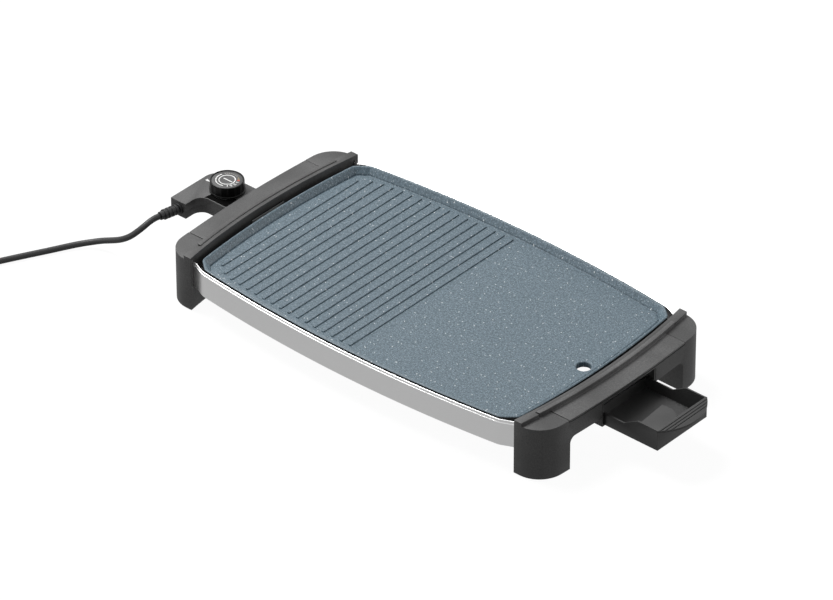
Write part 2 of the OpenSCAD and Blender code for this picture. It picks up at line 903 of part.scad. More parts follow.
module side_band_rear() {
    color("Silver")
        placed()
            mirror([0, 1, 0])
                side_band();
}

module heating_element() {
    color("DarkKhaki")
        placed()
            element_path(element_diameter);
}

module at_terminals() {
    for (side = [-1, 1])
        translate([0, terminal_middle + side * terminal_half_spacing, 0])
            children();
}

module terminal_pins() {
    color("Gainsboro")
        placed()
            at_terminals()
                bar_x(-pin_reach, -element_start, 0, terminal_height, pin_diameter);
}

module terminal_insulators() {
    color("Ivory")
        placed()
            at_terminals()
                difference() {
                    bar_x(-insulator_start - insulator_length, -insulator_start, 0, terminal_height,
                        insulator_diameter);
                    bar_x(-insulator_start - 2 * insulator_length, 0, 0, terminal_height,
                        pin_diameter + 2 * bore_gap);
                }
}

module terminal_bracket() {
    inner = bracket_front + bracket_thickness;
    color("LightGray")
        placed()
            difference() {
                translate([-inner, slide_gap - socket_near, bracket_low])
                    cube([bracket_thickness, socket_near + socket_far - 2 * slide_gap,
                        socket_top - slide_gap - bracket_low]);
                at_terminals()
                    bar_x(-wide, 0, 0, terminal_height, insulator_diameter + 2 * bore_gap);
                bar_x(-wide, 0, terminal_middle, terminal_height, probe_diameter + 2 * bracket_probe_gap);
            }
}

module probe_sleeve() {
    color("Peru")
        placed()
            difference() {
                bar_x(-probe_tip - sleeve_length + sleeve_diameter, -probe_tip + sleeve_diameter / 2,
                    terminal_middle, terminal_height, sleeve_diameter);
                bar_x(-wide, -probe_tip + slide_gap * 3, terminal_middle, terminal_height,
                    probe_diameter + 2 * slide_gap);
            }
}

module heat_shield() {
    half_x = shield_length / 2;
    half_y = shield_width / 2;
    color("LightSteelBlue")
        placed()
            difference() {
                translate([-half_x, -half_y, shield_bottom])
                    cube([shield_length, shield_width, plate_under - shield_bottom]);
                translate([shield_wall - half_x, shield_wall - half_y, shield_bottom + shield_wall])
                    cube([shield_length - 2 * shield_wall, shield_width - 2 * shield_wall, plate_under]);
                translate([guide_back - 2 * runner_width, -bay_half_width - shield_notch_gap, 0])
                    cube([plate_length, 2 * (bay_half_width + shield_notch_gap), rim_height]);
                translate([-plate_length, -socket_near - shield_notch_gap, shield_bottom + shield_wall])
                    cube([plate_length - probe_tip, socket_near + socket_far + 2 * shield_notch_gap,
                        rim_height]);
                slab(shield_bottom - cut_margin, shield_bottom + 2 * shield_wall)
                    shield_holes();
            }
}

module shield_holes() {
    four_corners(shield_screw_x, shield_screw_y)
        circle(d = screw_diameter + 2 * bore_gap);
    for (i = [-2:2])
        for (side = [-1, 1])
            translate([i * rib_pitch * 2, side * shield_width / 3])
                square([vent_width, vent_length], center = true);
}

// Open channel that the drip tray slides in
module drawer_guide() {
    color("SlateGray")
        placed()
            difference() {
                union() {
                    rotate([90, 0, 0])
                        linear_extrude(2 * guide_outer, center = true)
                            polygon([
                                [guide_back, slot_floor - guide_wall],
                                [guide_front, slot_floor - guide_wall],
                                [guide_front, slot_roof - slide_gap],
                                [guide_high_start, slot_roof - slide_gap],
                                [guide_high_start, guide_low_top],
                                [guide_back, guide_low_top]
                            ]);
                    slab(finger_gap_height - guide_wall, finger_gap_height)
                        guide_ears();
                }
                translate([guide_back - cut_margin, -slot_width / 2, slot_floor])
                    cube([wide, slot_width, rim_height]);
                translate([0, runner_width - slot_width / 2, 0])
                    cube([guide_floor_back, slot_width - 2 * runner_width, rim_height]);
                slab(0, rim_height)
                    guide_screw_points()
                        circle(d = screw_diameter + 2 * bore_gap);
            }
}

module guide_ears() {
    translate([ear_start, -guide_outer - ear_width])
        square([ear_end - ear_start, 2 * (guide_outer + ear_width)]);
}

module guide_screw_points() {
    for (side = [-1, 1])
        translate([(ear_start + ear_end) / 2, side * (guide_outer + ear_width / 2 + slide_gap)])
            children();
}

// Pan-head screw standing on the given height, head down
module screw(seat, tip) {
    translate([0, 0, seat - screw_head_height])
        cylinder(h = screw_head_height, d = screw_head_diameter);
    translate([0, 0, seat - cut_margin])
        cylinder(h = tip - seat + cut_margin, d = screw_diameter);
}

module plate_screws() {
    color("Gainsboro")
        placed()
            four_corners(plate_screw_x, plate_screw_y)
                screw(ledge_top - ledge_thickness, plate_under + floor_thickness / 4);
}

module shield_screws() {
    color("Gainsboro")
        placed()
            four_corners(shield_screw_x, shield_screw_y)
                screw(shield_bottom, plate_under - cut_margin);
}

module cover_screws() {
    color("Gainsboro")
        placed()
            four_corners(cover_boss_x, cover_boss_y)
                screw(finger_gap_height, cover_underside - 2 * handle_wall);
}

module guide_screws() {
    color("Gainsboro")
        placed()
            guide_screw_points()
                screw(finger_gap_height - guide_wall, trough_floor + 2 * handle_wall);
}

module foot_pads() {
    color("Black")
        placed()
            four_corners(foot_reach_x, foot_reach_y) {
                cylinder(h = foot_height, d = foot_diameter);
                cylinder(h = foot_height + 2 * handle_wall, d = foot_stem_diameter);
            }
}

module drip_tray() {
    color("SlateGray")
        placed()
            translate([tray_rear, 0, tray_bottom]) {
                tray_body();
                tray_lip();
                tray_deck();
            }
}

module tray_body() {
    difference() {
        rotate([90, 0, 0])
            linear_extrude(tray_width, center = true)
                polygon([
                    [0, 0], [tray_length, 0], [tray_length, tray_height],
                    [tray_slope_end, tray_height], [tray_low_length, tray_rear_height],
                    [0, tray_rear_height]
                ]);
        translate([tray_wall, tray_wall - tray_width / 2, tray_wall])
            cube([tray_length - 2 * tray_wall, tray_width - 2 * tray_wall, tray_height]);
    }
}

module tray_lip() {
    difference() {
        slab(tray_height - lip_thickness, tray_height)
            difference() {
                translate([tray_length + lip_reach - lip_radius, 0])
                    circle(r = lip_radius);
                translate([tray_length - tray_wall / 2 - 2 * lip_radius, -lip_radius])
                    square(2 * lip_radius);
            }
        for (i = [0:groove_count - 1])
            translate([tray_length + groove_width + i * groove_pitch, -tray_width,
                tray_height - groove_depth])
                cube([groove_width, 2 * tray_width, tray_height]);
    }
}

// Flat deck over the near half of the tray front
module tray_deck() {
    edge = tray_wall / 2 - tray_width / 2;
    slab(tray_height - lip_thickness, tray_height)
        polygon([
            [tray_length - deck_tip_depth, edge], [tray_length - deck_depth, -deck_middle],
            [tray_length - deck_near_depth, deck_middle],
            [tray_length - deck_shoulder_depth, -deck_shoulder_y],
            [tray_length - tray_wall / 2, -2 * deck_shoulder_y],
            [tray_length - tray_wall / 2, edge]
        ]);
}

module control_plan(inset) {
    difference() {
        union() {
            translate([inset - control_reach, inset - control_arm_end])
                square([control_arm_width - 2 * inset,
                    control_arm_end + control_leg_far - control_corner_radius - inset]);
            translate([-leg_start, inset - control_leg_near])
                square([leg_start - control_nose_reach - inset,
                    control_leg_near + control_leg_far - 2 * inset]);
            translate([-leg_start, control_leg_far - control_corner_radius])
                circle(r = control_corner_radius - inset);
            translate([-arm_inner - inset, inset - control_leg_near - control_inside_radius])
                square(control_inside_radius);
        }
        translate([control_inside_radius - arm_inner, -control_leg_near - control_inside_radius])
            circle(r = control_inside_radius + inset);
    }
}

module control_lower_shell() {
    color("DimGray")
        placed()
            difference() {
                slab(control_bottom, control_split)
                    control_plan(0);
                slab(control_bottom + control_wall, control_top)
                    control_plan(control_wall);
                control_openings();
                slab(0, control_split)
                    control_screw_places()
                        circle(d = screw_diameter + 2 * bore_gap);
                slab(0, control_bottom + control_wall / 2)
                    control_screw_places()
                        circle(d = screw_head_diameter + 2 * bore_gap);
            }
}

module control_openings() {
    at_terminals()
        bar_x(-contact_end, 0, 0, terminal_height, contact_diameter + 2 * bore_gap);
    bar_x(-contact_end, 0, terminal_middle, terminal_height, probe_diameter + 2 * bore_gap);
    translate([relief_x, control_wall - control_arm_end + cut_margin, relief_height])
        rotate([90, 0, 0])
            cylinder(h = control_wall + 2 * cut_margin, r = relief_neck_radius + bore_gap);
}

module control_screw_places() {
    for (point = control_screw_points)
        translate(point)
            children();
}

module control_upper_shell() {
    color("Gray")
        placed()
            difference() {
                union() {
                    difference() {
                        slab(control_split, control_top)
                            control_plan(0);
                        slab(control_bottom, control_top - control_wall)
                            control_plan(control_wall);
                    }
                    slab(control_bottom + control_wall, control_top - control_wall / 2)
                        control_screw_places()
                            circle(r = control_boss_radius);
                    slab(control_top, control_top + collar_height)
                        translate([-dial_reach, 0])
                            circle(d = collar_diameter);
                }
                control_openings();
                slab(control_bottom, control_top - 2 * control_wall)
                    control_screw_places()
                        circle(d = screw_diameter + 2 * bore_gap);
                slab(control_split, dial_top)
                    translate([-dial_reach, 0])
                        circle(d = shaft_diameter + bore_gap);
            }
}

module heat_probe() {
    color("Silver")
        placed()
            bar_x(-switch_start - pin_diameter, -probe_tip, terminal_middle, terminal_height,
                probe_diameter);
}

module contact_sleeves() {
    color("Goldenrod")
        placed()
            at_terminals()
                difference() {
                    bar_x(-contact_end, -contact_start, 0, terminal_height, contact_diameter);
                    bar_x(-pin_reach - pin_diameter, 0, 0, terminal_height, pin_diameter + 3 * bore_gap);
                }
}

module thermostat_switch() {
    color("SaddleBrown")
        placed()
            difference() {
                translate([-switch_end, terminal_middle - switch_half_width,
                    control_bottom + control_wall])
                    cube([switch_end - switch_start, 2 * switch_half_width,
                        switch_top - control_bottom - control_wall]);
                bar_x(-switch_start - pin_diameter - bore_gap, 0, terminal_middle, terminal_height,
                    probe_diameter + 2 * bore_gap);
            }
}

module control_screws() {
    seat = control_bottom + control_wall / 2;
    color("Gainsboro")
        placed()
            control_screw_places() {
                translate([0, 0, control_bottom - control_wall / 2 + seat_gap])
                    cylinder(h = control_wall - seat_gap, d = screw_head_diameter);
                translate([0, 0, seat - bore_gap])
                    cylinder(h = control_top - 3 * control_wall - seat, d = screw_diameter);
            }
}

module temperature_dial() {
    low = control_top + collar_height + slide_gap;
    color("Black")
        placed()
            translate([-dial_reach, 0, 0])
                difference() {
                    slab(low, dial_top)
                        difference() {
                            circle(d = dial_diameter);
                            for (i = [0:flute_count - 1])
                                rotate(i * 360 / flute_count)
                                    translate([dial_diameter / 2, 0])
                                        circle(r = flute_radius);
                        }
                    slab(dial_top - dial_face_thickness, dial_top + cut_margin)
                        circle(d = dial_face_diameter + 2 * bore_gap);
                    slab(control_top, dial_top - 3 * dial_face_thickness)
                        circle(d = shaft_diameter + bore_gap);
                }
}

module dial_face() {
    color("LightGray")
        placed()
            translate([-dial_reach, 0, dial_top - dial_face_thickness])
                cylinder(h = dial_face_thickness, d = dial_face_diameter);
}

module dial_shaft() {
    color("Silver")
        placed()
            translate([-dial_reach, 0, 0])
                slab(switch_top + slide_gap, dial_top - 3 * dial_face_thickness - bore_gap)
                    circle(d = shaft_diameter - bore_gap);
}

// Rubber sleeve that guards the cord where it leaves the control
module strain_relief() {
    color("Black")
        placed()
            translate([relief_x, -control_arm_end, relief_height])
                rotate([90, 0, 0]) {
                    translate([0, 0, -control_wall - relief_flange - bore_gap])
                        cylinder(h = relief_flange, r = relief_base_radius);
                    translate([0, 0, -control_wall - relief_flange])
                        cylinder(h = control_wall + relief_flange + relief_collar, r = relief_neck_radius);
                    translate([0, 0, bore_gap])
                        cylinder(h = relief_collar - bore_gap, r = relief_base_radius);
                    rotate([0, -relief_angle, 0])
                        relief_cone();
                }
}

// Tapered sleeve with round ribs, clear of the control's wall at its foot
module relief_cone() {
    rotate_extrude()
        polygon([
            [0, relief_collar], [relief_neck_radius, relief_collar],
            [relief_tip_radius, relief_length], [0, relief_length]
        ]);
    for (i = [0:relief_rib_count - 1])
        translate([0, 0, relief_collar + relief_rib_pitch * (i + 1 / 4)])
            cylinder(h = relief_rib_width, r = relief_neck_radius + relief_rib_height);
}

// Tube through a list of points, with flat ends
module tube(points, radius, sides) {
    count = len(points);
    rings = [for (i = [0:count - 1]) for (k = [0:sides - 1])
        points[i] + ring_offset(points, i, 360 * k / sides, radius)];
    quads = [for (i = [0:count - 2]) for (k = [0:sides - 1])
        [i * sides + k, i * sides + (k + 1) % sides,
            (i + 1) * sides + (k + 1) % sides, (i + 1) * sides + k]];
    near_cap = [for (k = [0:sides - 1]) sides - 1 - k];
    far_cap = [for (k = [0:sides - 1]) (count - 1) * sides + k];
    polyhedron(points = rings, faces = concat(quads, [near_cap, far_cap]));
}

function heading(points, i) =
    let (last = len(points) - 1)
    points[min(i + 1, last)] - points[max(i - 1, 0)];

function unit(v) = v / norm(v);

function ring_offset(points, i, angle, radius) =
    let (
        along = unit(heading(points, i)),
        side = unit(cross(along, [0, 0, 1])),
        up = cross(side, along)
    )
    radius * (cos(angle) * side - sin(angle) * up);

module supply_cord() {
    color("Black")
        placed()
            tube(cord_route, cord_radius, cord_sides);
}

// Two flat layers, wound inwards below and outwards above, with a climb between them
function coil_point(step) =
    let (
        turn = step / rings_per_turn,
        middle = layer_turns + climb_turns / 2,
        radius = coil_radius + coil_pitch * (abs(turn - middle) - (layer_turns + climb_turns) / 2),
        climb = min(max((turn - layer_turns) / climb_turns, 0), 1),
        angle = coil_start_angle - 360 * turn
    )
    [
        coil_x + radius * cos(angle),
        coil_y + radius * sin(angle),
        coil_low + (coil_high - coil_low) * (1 - cos(180 * climb)) / 2
    ];

coil_steps = rings_per_turn * (2 * layer_turns + climb_turns);
coil_points = [for (i = [0:coil_steps]) coil_point(i)];
coil_least_gap = min([
    for (i = [0:coil_steps]) for (j = [i + rings_per_turn / 2:1:coil_steps])
        norm(coil_points[i] - coil_points[j])
]) - cord_diameter;
echo(coil_least_gap = coil_least_gap);

module supply_cord_coil() {
    color("Black")
        placed()
            tube(coil_points, cord_radius, coil_sides);
}

module plug_lead() {
    color("Black")
        placed()
            tube(lead_route, cord_radius, cord_sides);
}

module cord_tie() {
    inner = coil_radius - coil_pitch - cord_radius - slide_gap;
    outer = coil_radius + coil_pitch + cord_radius + slide_gap;
    high = coil_high + cord_radius + slide_gap;
    color("White")
        placed()
            translate([coil_x, coil_y, 0])
                rotate(coil_start_angle + 90)
                    difference() {
                        translate([inner - tie_wall, -tie_width / 2, bore_gap])
                            cube([outer - inner + 2 * tie_wall, tie_width, high + tie_wall - bore_gap]);
                        translate([inner, -tie_width, bore_gap + tie_wall])
                            cube([outer - inner, 2 * tie_width, high - bore_gap - tie_wall]);
                    }
}

module at_plug() {
    translate([plug_x, plug_y, plug_diameter / 2 + bore_gap])
        rotate([0, 90, plug_angle])
            children();
}

module plug_body() {
    shoulder = plug_neck_length + plug_taper;
    color("Black")
        placed()
            at_plug()
                rotate_extrude()
                    polygon([
                        [0, 0], [plug_neck_radius, 0], [plug_shoulder_radius, plug_neck_length],
                        [plug_diameter / 2, shoulder],
                        [plug_diameter / 2, shoulder + plug_length / 2],
                        [0, shoulder + plug_length / 2]
                    ]);
}

module plug_pins() {
    front = plug_neck_length + plug_taper + plug_length / 2;
    color("Gainsboro")
        placed()
            at_plug()
                for (side = [-1, 1])
                    translate([0, side * plug_pin_half_spacing, front])
                        cylinder(h = plug_pin_length, d = pin_diameter);
}

griddle_plate();
handle_drawer_end();
handle_socket_end();
handle_cover_drawer_end();
handle_cover_socket_end();
side_band_front();
side_band_rear();
heating_element();
terminal_pins();
terminal_insulators();
terminal_bracket();
probe_sleeve();
heat_shield();
drawer_guide();
plate_screws();
shield_screws();
cover_screws();
guide_screws();
foot_pads();
drip_tray();
control_lower_shell();
control_upper_shell();
heat_probe();
contact_sleeves();
thermostat_switch();
control_screws();
temperature_dial();
dial_face();
dial_shaft();
strain_relief();
supply_cord();
supply_cord_coil();
plug_lead();
cord_tie();
plug_body();
plug_pins();
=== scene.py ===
from math import cos, pi, radians, sin, sqrt

import bmesh
import bpy
from mathutils import Matrix, Vector


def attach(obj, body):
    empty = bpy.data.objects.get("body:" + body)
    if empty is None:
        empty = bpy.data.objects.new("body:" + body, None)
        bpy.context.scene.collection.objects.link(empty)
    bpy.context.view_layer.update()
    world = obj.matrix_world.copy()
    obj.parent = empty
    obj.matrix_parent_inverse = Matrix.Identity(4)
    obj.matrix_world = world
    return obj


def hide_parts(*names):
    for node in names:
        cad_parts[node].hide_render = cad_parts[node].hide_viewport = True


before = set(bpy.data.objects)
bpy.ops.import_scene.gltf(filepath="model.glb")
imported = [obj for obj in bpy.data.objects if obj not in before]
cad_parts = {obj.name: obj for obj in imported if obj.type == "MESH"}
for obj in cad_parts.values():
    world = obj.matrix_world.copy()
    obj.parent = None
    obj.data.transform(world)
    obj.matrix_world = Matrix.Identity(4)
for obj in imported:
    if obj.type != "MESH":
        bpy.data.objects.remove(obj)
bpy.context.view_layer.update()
scene = bpy.context.scene

# Camera. The photograph is a long-lens product view from above the front right corner, so the
# camera stands 7.5 m away. Sizes are millimetres from the middle of the plate, which lies beside
# the part's origin. Every mesh is moved by that and turned to metres as it is made.
plate_x, aim_x, clip_end = -12.9, 1.1, 60
view_turn, view_tilt, view_distance = radians(40.961), radians(34.624), 7.4908
lens_mm, sensor_mm = 291.36, 36.0
aim_right, aim_up = -0.00266, 0.005348


def metres(x, y, z):
    return Vector(((x + plate_x) / 1000, y / 1000, z / 1000))


def add_object(name, data):
    """A new object, linked to the scene."""
    made = bpy.data.objects.new(name, data)
    scene.collection.objects.link(made)
    return made


back = Vector((sin(view_turn) * cos(view_tilt), -cos(view_turn) * cos(view_tilt), sin(view_tilt)))
right = Vector((cos(view_turn), sin(view_turn), 0))
up = back.cross(right)
camera_data = bpy.data.cameras.new("photo_camera")
camera_data.sensor_width, camera_data.lens = sensor_mm, lens_mm
camera_data.clip_end = clip_end
camera = add_object("photo_camera", camera_data)
camera_back = (back - right * aim_right - up * aim_up).normalized()
camera_right = (right - camera_back * right.dot(camera_back)).normalized()
camera.matrix_world = Matrix.Translation(metres(aim_x, 0, 0) + back * view_distance) @ Matrix(
    (camera_right, camera_back.cross(camera_right), camera_back)).transposed().to_4x4()
scene.camera = camera


# Supply cord: a black 7.2 mm rubber-sheathed lead. It leaves the control's strain relief, drops to
# the table, runs out of the picture, lies in a two-layer coil and ends in the mains plug.
cord_diameter = 7.2
cord_route = [
    (-341, -78.3, 50.2), (-342.4, -85, 50), (-343.5, -92.5, 48.6), (-345.5, -100, 45),
    (-349.5, -106, 39.8), (-355.5, -110.5, 33.5), (-364, -112.5, 27), (-374, -113, 21),
    (-385.5, -113.3, 15.5), (-397, -115, 10.8), (-408, -120.5, 7), (-418.5, -131, 4.9),
    (-427.5, -145, 4), (-436, -161, 3.8), (-445, -178, 3.8), (-454, -195, 3.8),
    (-463, -212.5, 3.8), (-472, -230, 3.9), (-480.5, -246, 4.3), (-486.4, -256.6, 4.7)]
cord_end = (-489.8, -262.7, 4.7)
lead_route = [
    (-493.3, -269, 12.7), (-498, -277.5, 13.6), (-503.5, -287.4, 15.7),
    (-509, -297.3, 17.8), (-513.6, -305.6, 18.6), (-517.1, -311.9, 18.6)]
coil_start, coil_radius, coil_pitch, joint_gap = radians(-29), 39, 8, 0.3
layer_turns, climb_turns = 1.75, 0.5
coil_steps_per_turn = 48


def coil_point(turn):
    """Two flat layers, wound inwards below and outwards above, with a climb between them."""
    outer = coil_radius + coil_pitch * layer_turns / 2
    middle = Vector(cord_end) + joint_gap * Vector((sin(coil_start), -cos(coil_start), 0)) \
        - outer * Vector((cos(coil_start), sin(coil_start), 0))
    radius = coil_radius + coil_pitch * (
        abs(turn - layer_turns - climb_turns / 2) - (layer_turns + climb_turns) / 2)
    climb = min(max((turn - layer_turns) / climb_turns, 0), 1)
    angle = coil_start - 2 * pi * turn
    return middle + Vector((radius * cos(angle), radius * sin(angle),
                            coil_pitch * (1 - cos(pi * climb)) / 2))


def smooth_path(points, steps):
    """Points along a curve that passes through every given point."""
    points = [Vector(point) for point in points]
    ends = [2 * points[0] - points[1]] + points + [2 * points[-1] - points[-2]]
    path = []
    for before, start, end, after in zip(ends, ends[1:], ends[2:], ends[3:]):
        bend = 2 * before - 5 * start + 4 * end - after
        twist = 3 * start - before - 3 * end + after
        for step in range(steps):
            t = step / steps
            path.append(0.5 * (2 * start + (end - before) * t + bend * t * t + twist * t ** 3))
    return path + [points[-1]]


def mesh_object(name, vertices, faces, smooth=True):
    """A mesh in metres from millimetre points, with merged doubles and outward faces."""
    mesh = bpy.data.meshes.new(name)
    mesh.from_pydata([metres(*vertex) for vertex in vertices], [], faces)
    work = bmesh.new()
    work.from_mesh(mesh)
    bmesh.ops.remove_doubles(work, verts=work.verts, dist=1e-6)
    bmesh.ops.recalc_face_normals(work, faces=work.faces)
    work.to_mesh(mesh)
    work.free()
    mesh.polygons.foreach_set("use_smooth", [smooth] * len(mesh.polygons))
    return add_object(name, mesh)


def ring_faces(rings, sides):
    """Faces between each ring of vertices and the next."""
    faces = []
    for ring in range(rings - 1):
        for k in range(sides):
            a, b = ring * sides + k, ring * sides + (k + 1) % sides
            faces.append((a, b, b + sides, a + sides))
    return faces


def end_faces(count, sides):
    """The first and the last ring of so many vertices, as two faces."""
    return [tuple(range(sides)), tuple(range(count - sides, count))]


def heading(path, index):
    """The direction of a path at one of its points."""
    return (path[min(index + 1, len(path) - 1)] - path[max(index - 1, 0)]).normalized()


def tube_mesh(name, path, radius, sides):
    """A round tube along a path, closed at both ends."""
    vertices = []
    for index, point in enumerate(path):
        along = heading(path, index)
        side = along.cross(Vector((0, 0, 1))).normalized()
        above = side.cross(along)
        for k in range(sides):
            turn = 2 * pi * k / sides
            vertices.append(point + radius * (cos(turn) * side + sin(turn) * above))
    return mesh_object(name, vertices,
                       ring_faces(len(path), sides) + end_faces(len(vertices), sides))


coil_turns = 2 * layer_turns + climb_turns
coil_points = [coil_point(step / coil_steps_per_turn)
               for step in range(int(coil_turns * coil_steps_per_turn) + 1)]
cord_path = smooth_path(cord_route + [cord_end], steps=4)[:-1] + coil_points
cord_path += smooth_path(coil_points[-1:] + lead_route, steps=4)[1:]
supply_cord = tube_mesh("supply_cord_sheath", cord_path, cord_diameter / 2, sides=20)


def linear(colour):
    """An sRGB hex colour as linear RGBA."""
    parts = [int(colour[i:i + 2], 16) / 255 for i in (1, 3, 5)]
    return [c / 12.92 if c < 0.04045 else ((c + 0.055) / 1.055) ** 2.4 for c in parts] + [1.0]


def add_node(material, kind, links=None, **settings):
    """Adds a shader node. Settings name its properties or inputs, and links feed its inputs."""
    made = material.node_tree.nodes.new(kind)
    for key, value in settings.items():
        if hasattr(made, key):
            setattr(made, key, value)
        else:
            made.inputs[key.replace("_", " ")].default_value = value
    for key, source in (links or {}).items():
        material.node_tree.links.new(source, made.inputs[key])
    return made


def new_material(name, colour, roughness, metallic=0.0, **extra):
    material = bpy.data.materials.new(name)
    material.use_nodes = True
    shader = material.node_tree.nodes["Principled BSDF"]
    shader.inputs["Base Color"].default_value = linear(colour)
    shader.inputs["Roughness"].default_value = roughness
    shader.inputs["Metallic"].default_value = metallic
    for key, value in extra.items():
        shader.inputs[key.replace("_", " ")].default_value = value
    return material, shader


def link(material, output, socket):
    material.node_tree.links.new(output, socket)


def two_tones(material, source, dark, pale, low, high):
    """A colour that goes from dark to pale as the source rises from low to high."""
    tones = add_node(material, "ShaderNodeValToRGB", {"Fac": source})
    for element, level, colour in zip(tones.color_ramp.elements, (low, high), (dark, pale)):
        element.position, element.color = level, linear(colour)
    return tones.outputs["Color"]


def grained(name, colour, pale, roughness, grain_mm, bump_mm, **extra):
    """Moulded plastic or rubber: a spark-eroded grain, with the colour a little uneven."""
    material, shader = new_material(name, colour, roughness, **extra)
    cloud_mm = grain_mm * 40
    place = add_node(material, "ShaderNodeTexCoord")
    grain = add_node(material, "ShaderNodeTexNoise", {"Vector": place.outputs["Object"]},
                     Scale=1000 / grain_mm, Detail=3.0, Roughness=0.6)
    cloud = add_node(material, "ShaderNodeTexNoise", {"Vector": place.outputs["Object"]},
                     Scale=1000 / cloud_mm, Detail=2.0)
    mixed = add_node(material, "ShaderNodeMath", {0: grain.outputs["Fac"], 1: cloud.outputs["Fac"]},
                     operation="MULTIPLY")
    tones = two_tones(material, mixed.outputs[0], colour, pale, 0.12, 0.42)
    bump = add_node(material, "ShaderNodeBump", {"Height": grain.outputs["Fac"]},
                    Strength=0.5, Distance=bump_mm / 1000)
    link(material, tones, shader.inputs["Base Color"])
    link(material, bump.outputs["Normal"], shader.inputs["Normal"])
    return material


# Rubber sheath and boot: carbon-black rubber, slightly dusty, with a fine drawn skin.
rubber = grained("sheath_rubber", "#161617", "#262627", 0.5, 0.6, 0.02)
supply_cord.data.materials.append(rubber)
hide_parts("supply_cord", "supply_cord_coil", "plug_lead")
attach(supply_cord, "control")

# Mains plug: black PVC moulded over the end of the lead, lying on its side, with a ribbed neck and
# two round pins of nickelled brass. A white nylon tie holds the coil.
plug_place = Matrix.Translation((-517.1, -311.9, 18.6)) @ Matrix.Rotation(radians(-119), 4, "Z") \
    @ Matrix.Rotation(radians(90), 4, "Y")
plug_profile = [
    (0, 0.0), (4.6, 0), (5.0, 0.6), (5.0, 2.6), (4.6, 3.2), (4.7, 4.4), (5.4, 5), (5.5, 7),
    (5.0, 7.6), (5.2, 8.8), (6.0, 9.4), (6.2, 11.4), (5.6, 12), (5.9, 13.2), (6.9, 14),
    (7.4, 16.4), (8.2, 20), (9.6, 23.5), (12.6, 28), (15.6, 31.5), (17.4, 34), (18.3, 37),
    (18.5, 40), (18.5, 51.4), (18.2, 52.5), (17.6, 53), (14.5, 53), (14, 52.6), (0, 52.6)]


def bake(piece):
    """Replaces a piece's mesh by the result of its modifiers, which are removed."""
    view = bpy.context.evaluated_depsgraph_get()
    view.update()
    mesh = bpy.data.meshes.new_from_object(piece.evaluated_get(view))
    piece.modifiers.clear()
    piece.data = mesh
    sharp_from = radians(32)
    work = bmesh.new()
    work.from_mesh(mesh)
    for edge in work.edges:
        edge.smooth = len(edge.link_faces) == 2 and edge.calc_face_angle(0) < sharp_from
    work.to_mesh(mesh)
    work.free()
    mesh.polygons.foreach_set("use_smooth", [True] * len(mesh.polygons))


def lathe(name, profile, sides, place):
    """A turned solid from (radius, height) points about Z, set in its place by a matrix in mm."""
    vertices = []
    for radius, height in profile:
        for k in range(sides):
            turn = 2 * pi * k / sides
            vertices.append(place @ Vector((radius * cos(turn), radius * sin(turn), height)))
    ends = zip(end_faces(len(vertices), sides), (profile[0], profile[-1]))
    faces = ring_faces(len(profile), sides) + [face for face, (radius, _) in ends if radius > 0]
    piece = mesh_object(name, vertices, faces)
    bake(piece)
    return piece


plug = lathe("mains_plug", plug_profile, 48, plug_place)
# Plug plastic: smoother than the sheath, with a soft sheen.
plug_plastic = grained("plug_plastic", "#141415", "#222223", 0.42, 0.5, 0.02)
plug.data.materials.append(plug_plastic)
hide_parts("plug_body")
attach(plug, "control")


def brushed(name, colour, roughness, stretch, grain_mm=0.3):
    """Drawn or brushed metal: fine streaks along one axis in the roughness and the bump."""
    material, shader = new_material(name, colour, roughness, metallic=1.0)
    place = add_node(material, "ShaderNodeTexCoord")
    along = add_node(material, "ShaderNodeMapping", {"Vector": place.outputs["Object"]})
    along.inputs["Scale"].default_value = stretch
    streaks = add_node(material, "ShaderNodeTexNoise", {"Vector": along.outputs["Vector"]},
                       Scale=1000 / grain_mm, Detail=2.0)
    dulls = add_node(material, "ShaderNodeMapRange", {"Value": streaks.outputs["Fac"]},
                     To_Min=roughness * 0.8, To_Max=roughness * 1.25)
    bump = add_node(material, "ShaderNodeBump", {"Height": streaks.outputs["Fac"]},
                    Strength=0.2, Distance=0.00002)
    link(material, dulls.outputs["Result"], shader.inputs["Roughness"])
    link(material, bump.outputs["Normal"], shader.inputs["Normal"])
    return material


def dress(node_name, material):
    """Gives a solid that keeps its own mesh a finish."""
    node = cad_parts[node_name]
    node.data.materials.clear()
    node.data.materials.append(material)
    return node


# Tie nylon: a pale, waxy band on the black coil. Nickel plate: pale and nearly a mirror.
tie = dress("cord_tie", grained("tie_plastic", "#d9d9d6", "#e6e6e4", 0.45, 0.8, 0.02))
nickel = brushed("nickelled_pins", "#c9c8c4", 0.25, (1, 1, 1))
plug_pins = dress("plug_pins", nickel)

# Griddle plate: one aluminium casting, its outline four bowed sides with cut corners. The rounded
# rim slopes to a fine gutter round the cooking floor, where a drain hole leads to the tray.
half_length, half_width, rim_z, floor_z, under_z = 239.0, 153.6, 64.6, 57.4, 53.0
side_bow, end_bow = 1724.0, 1087.0
plate_corner = (244.2, 51.1)


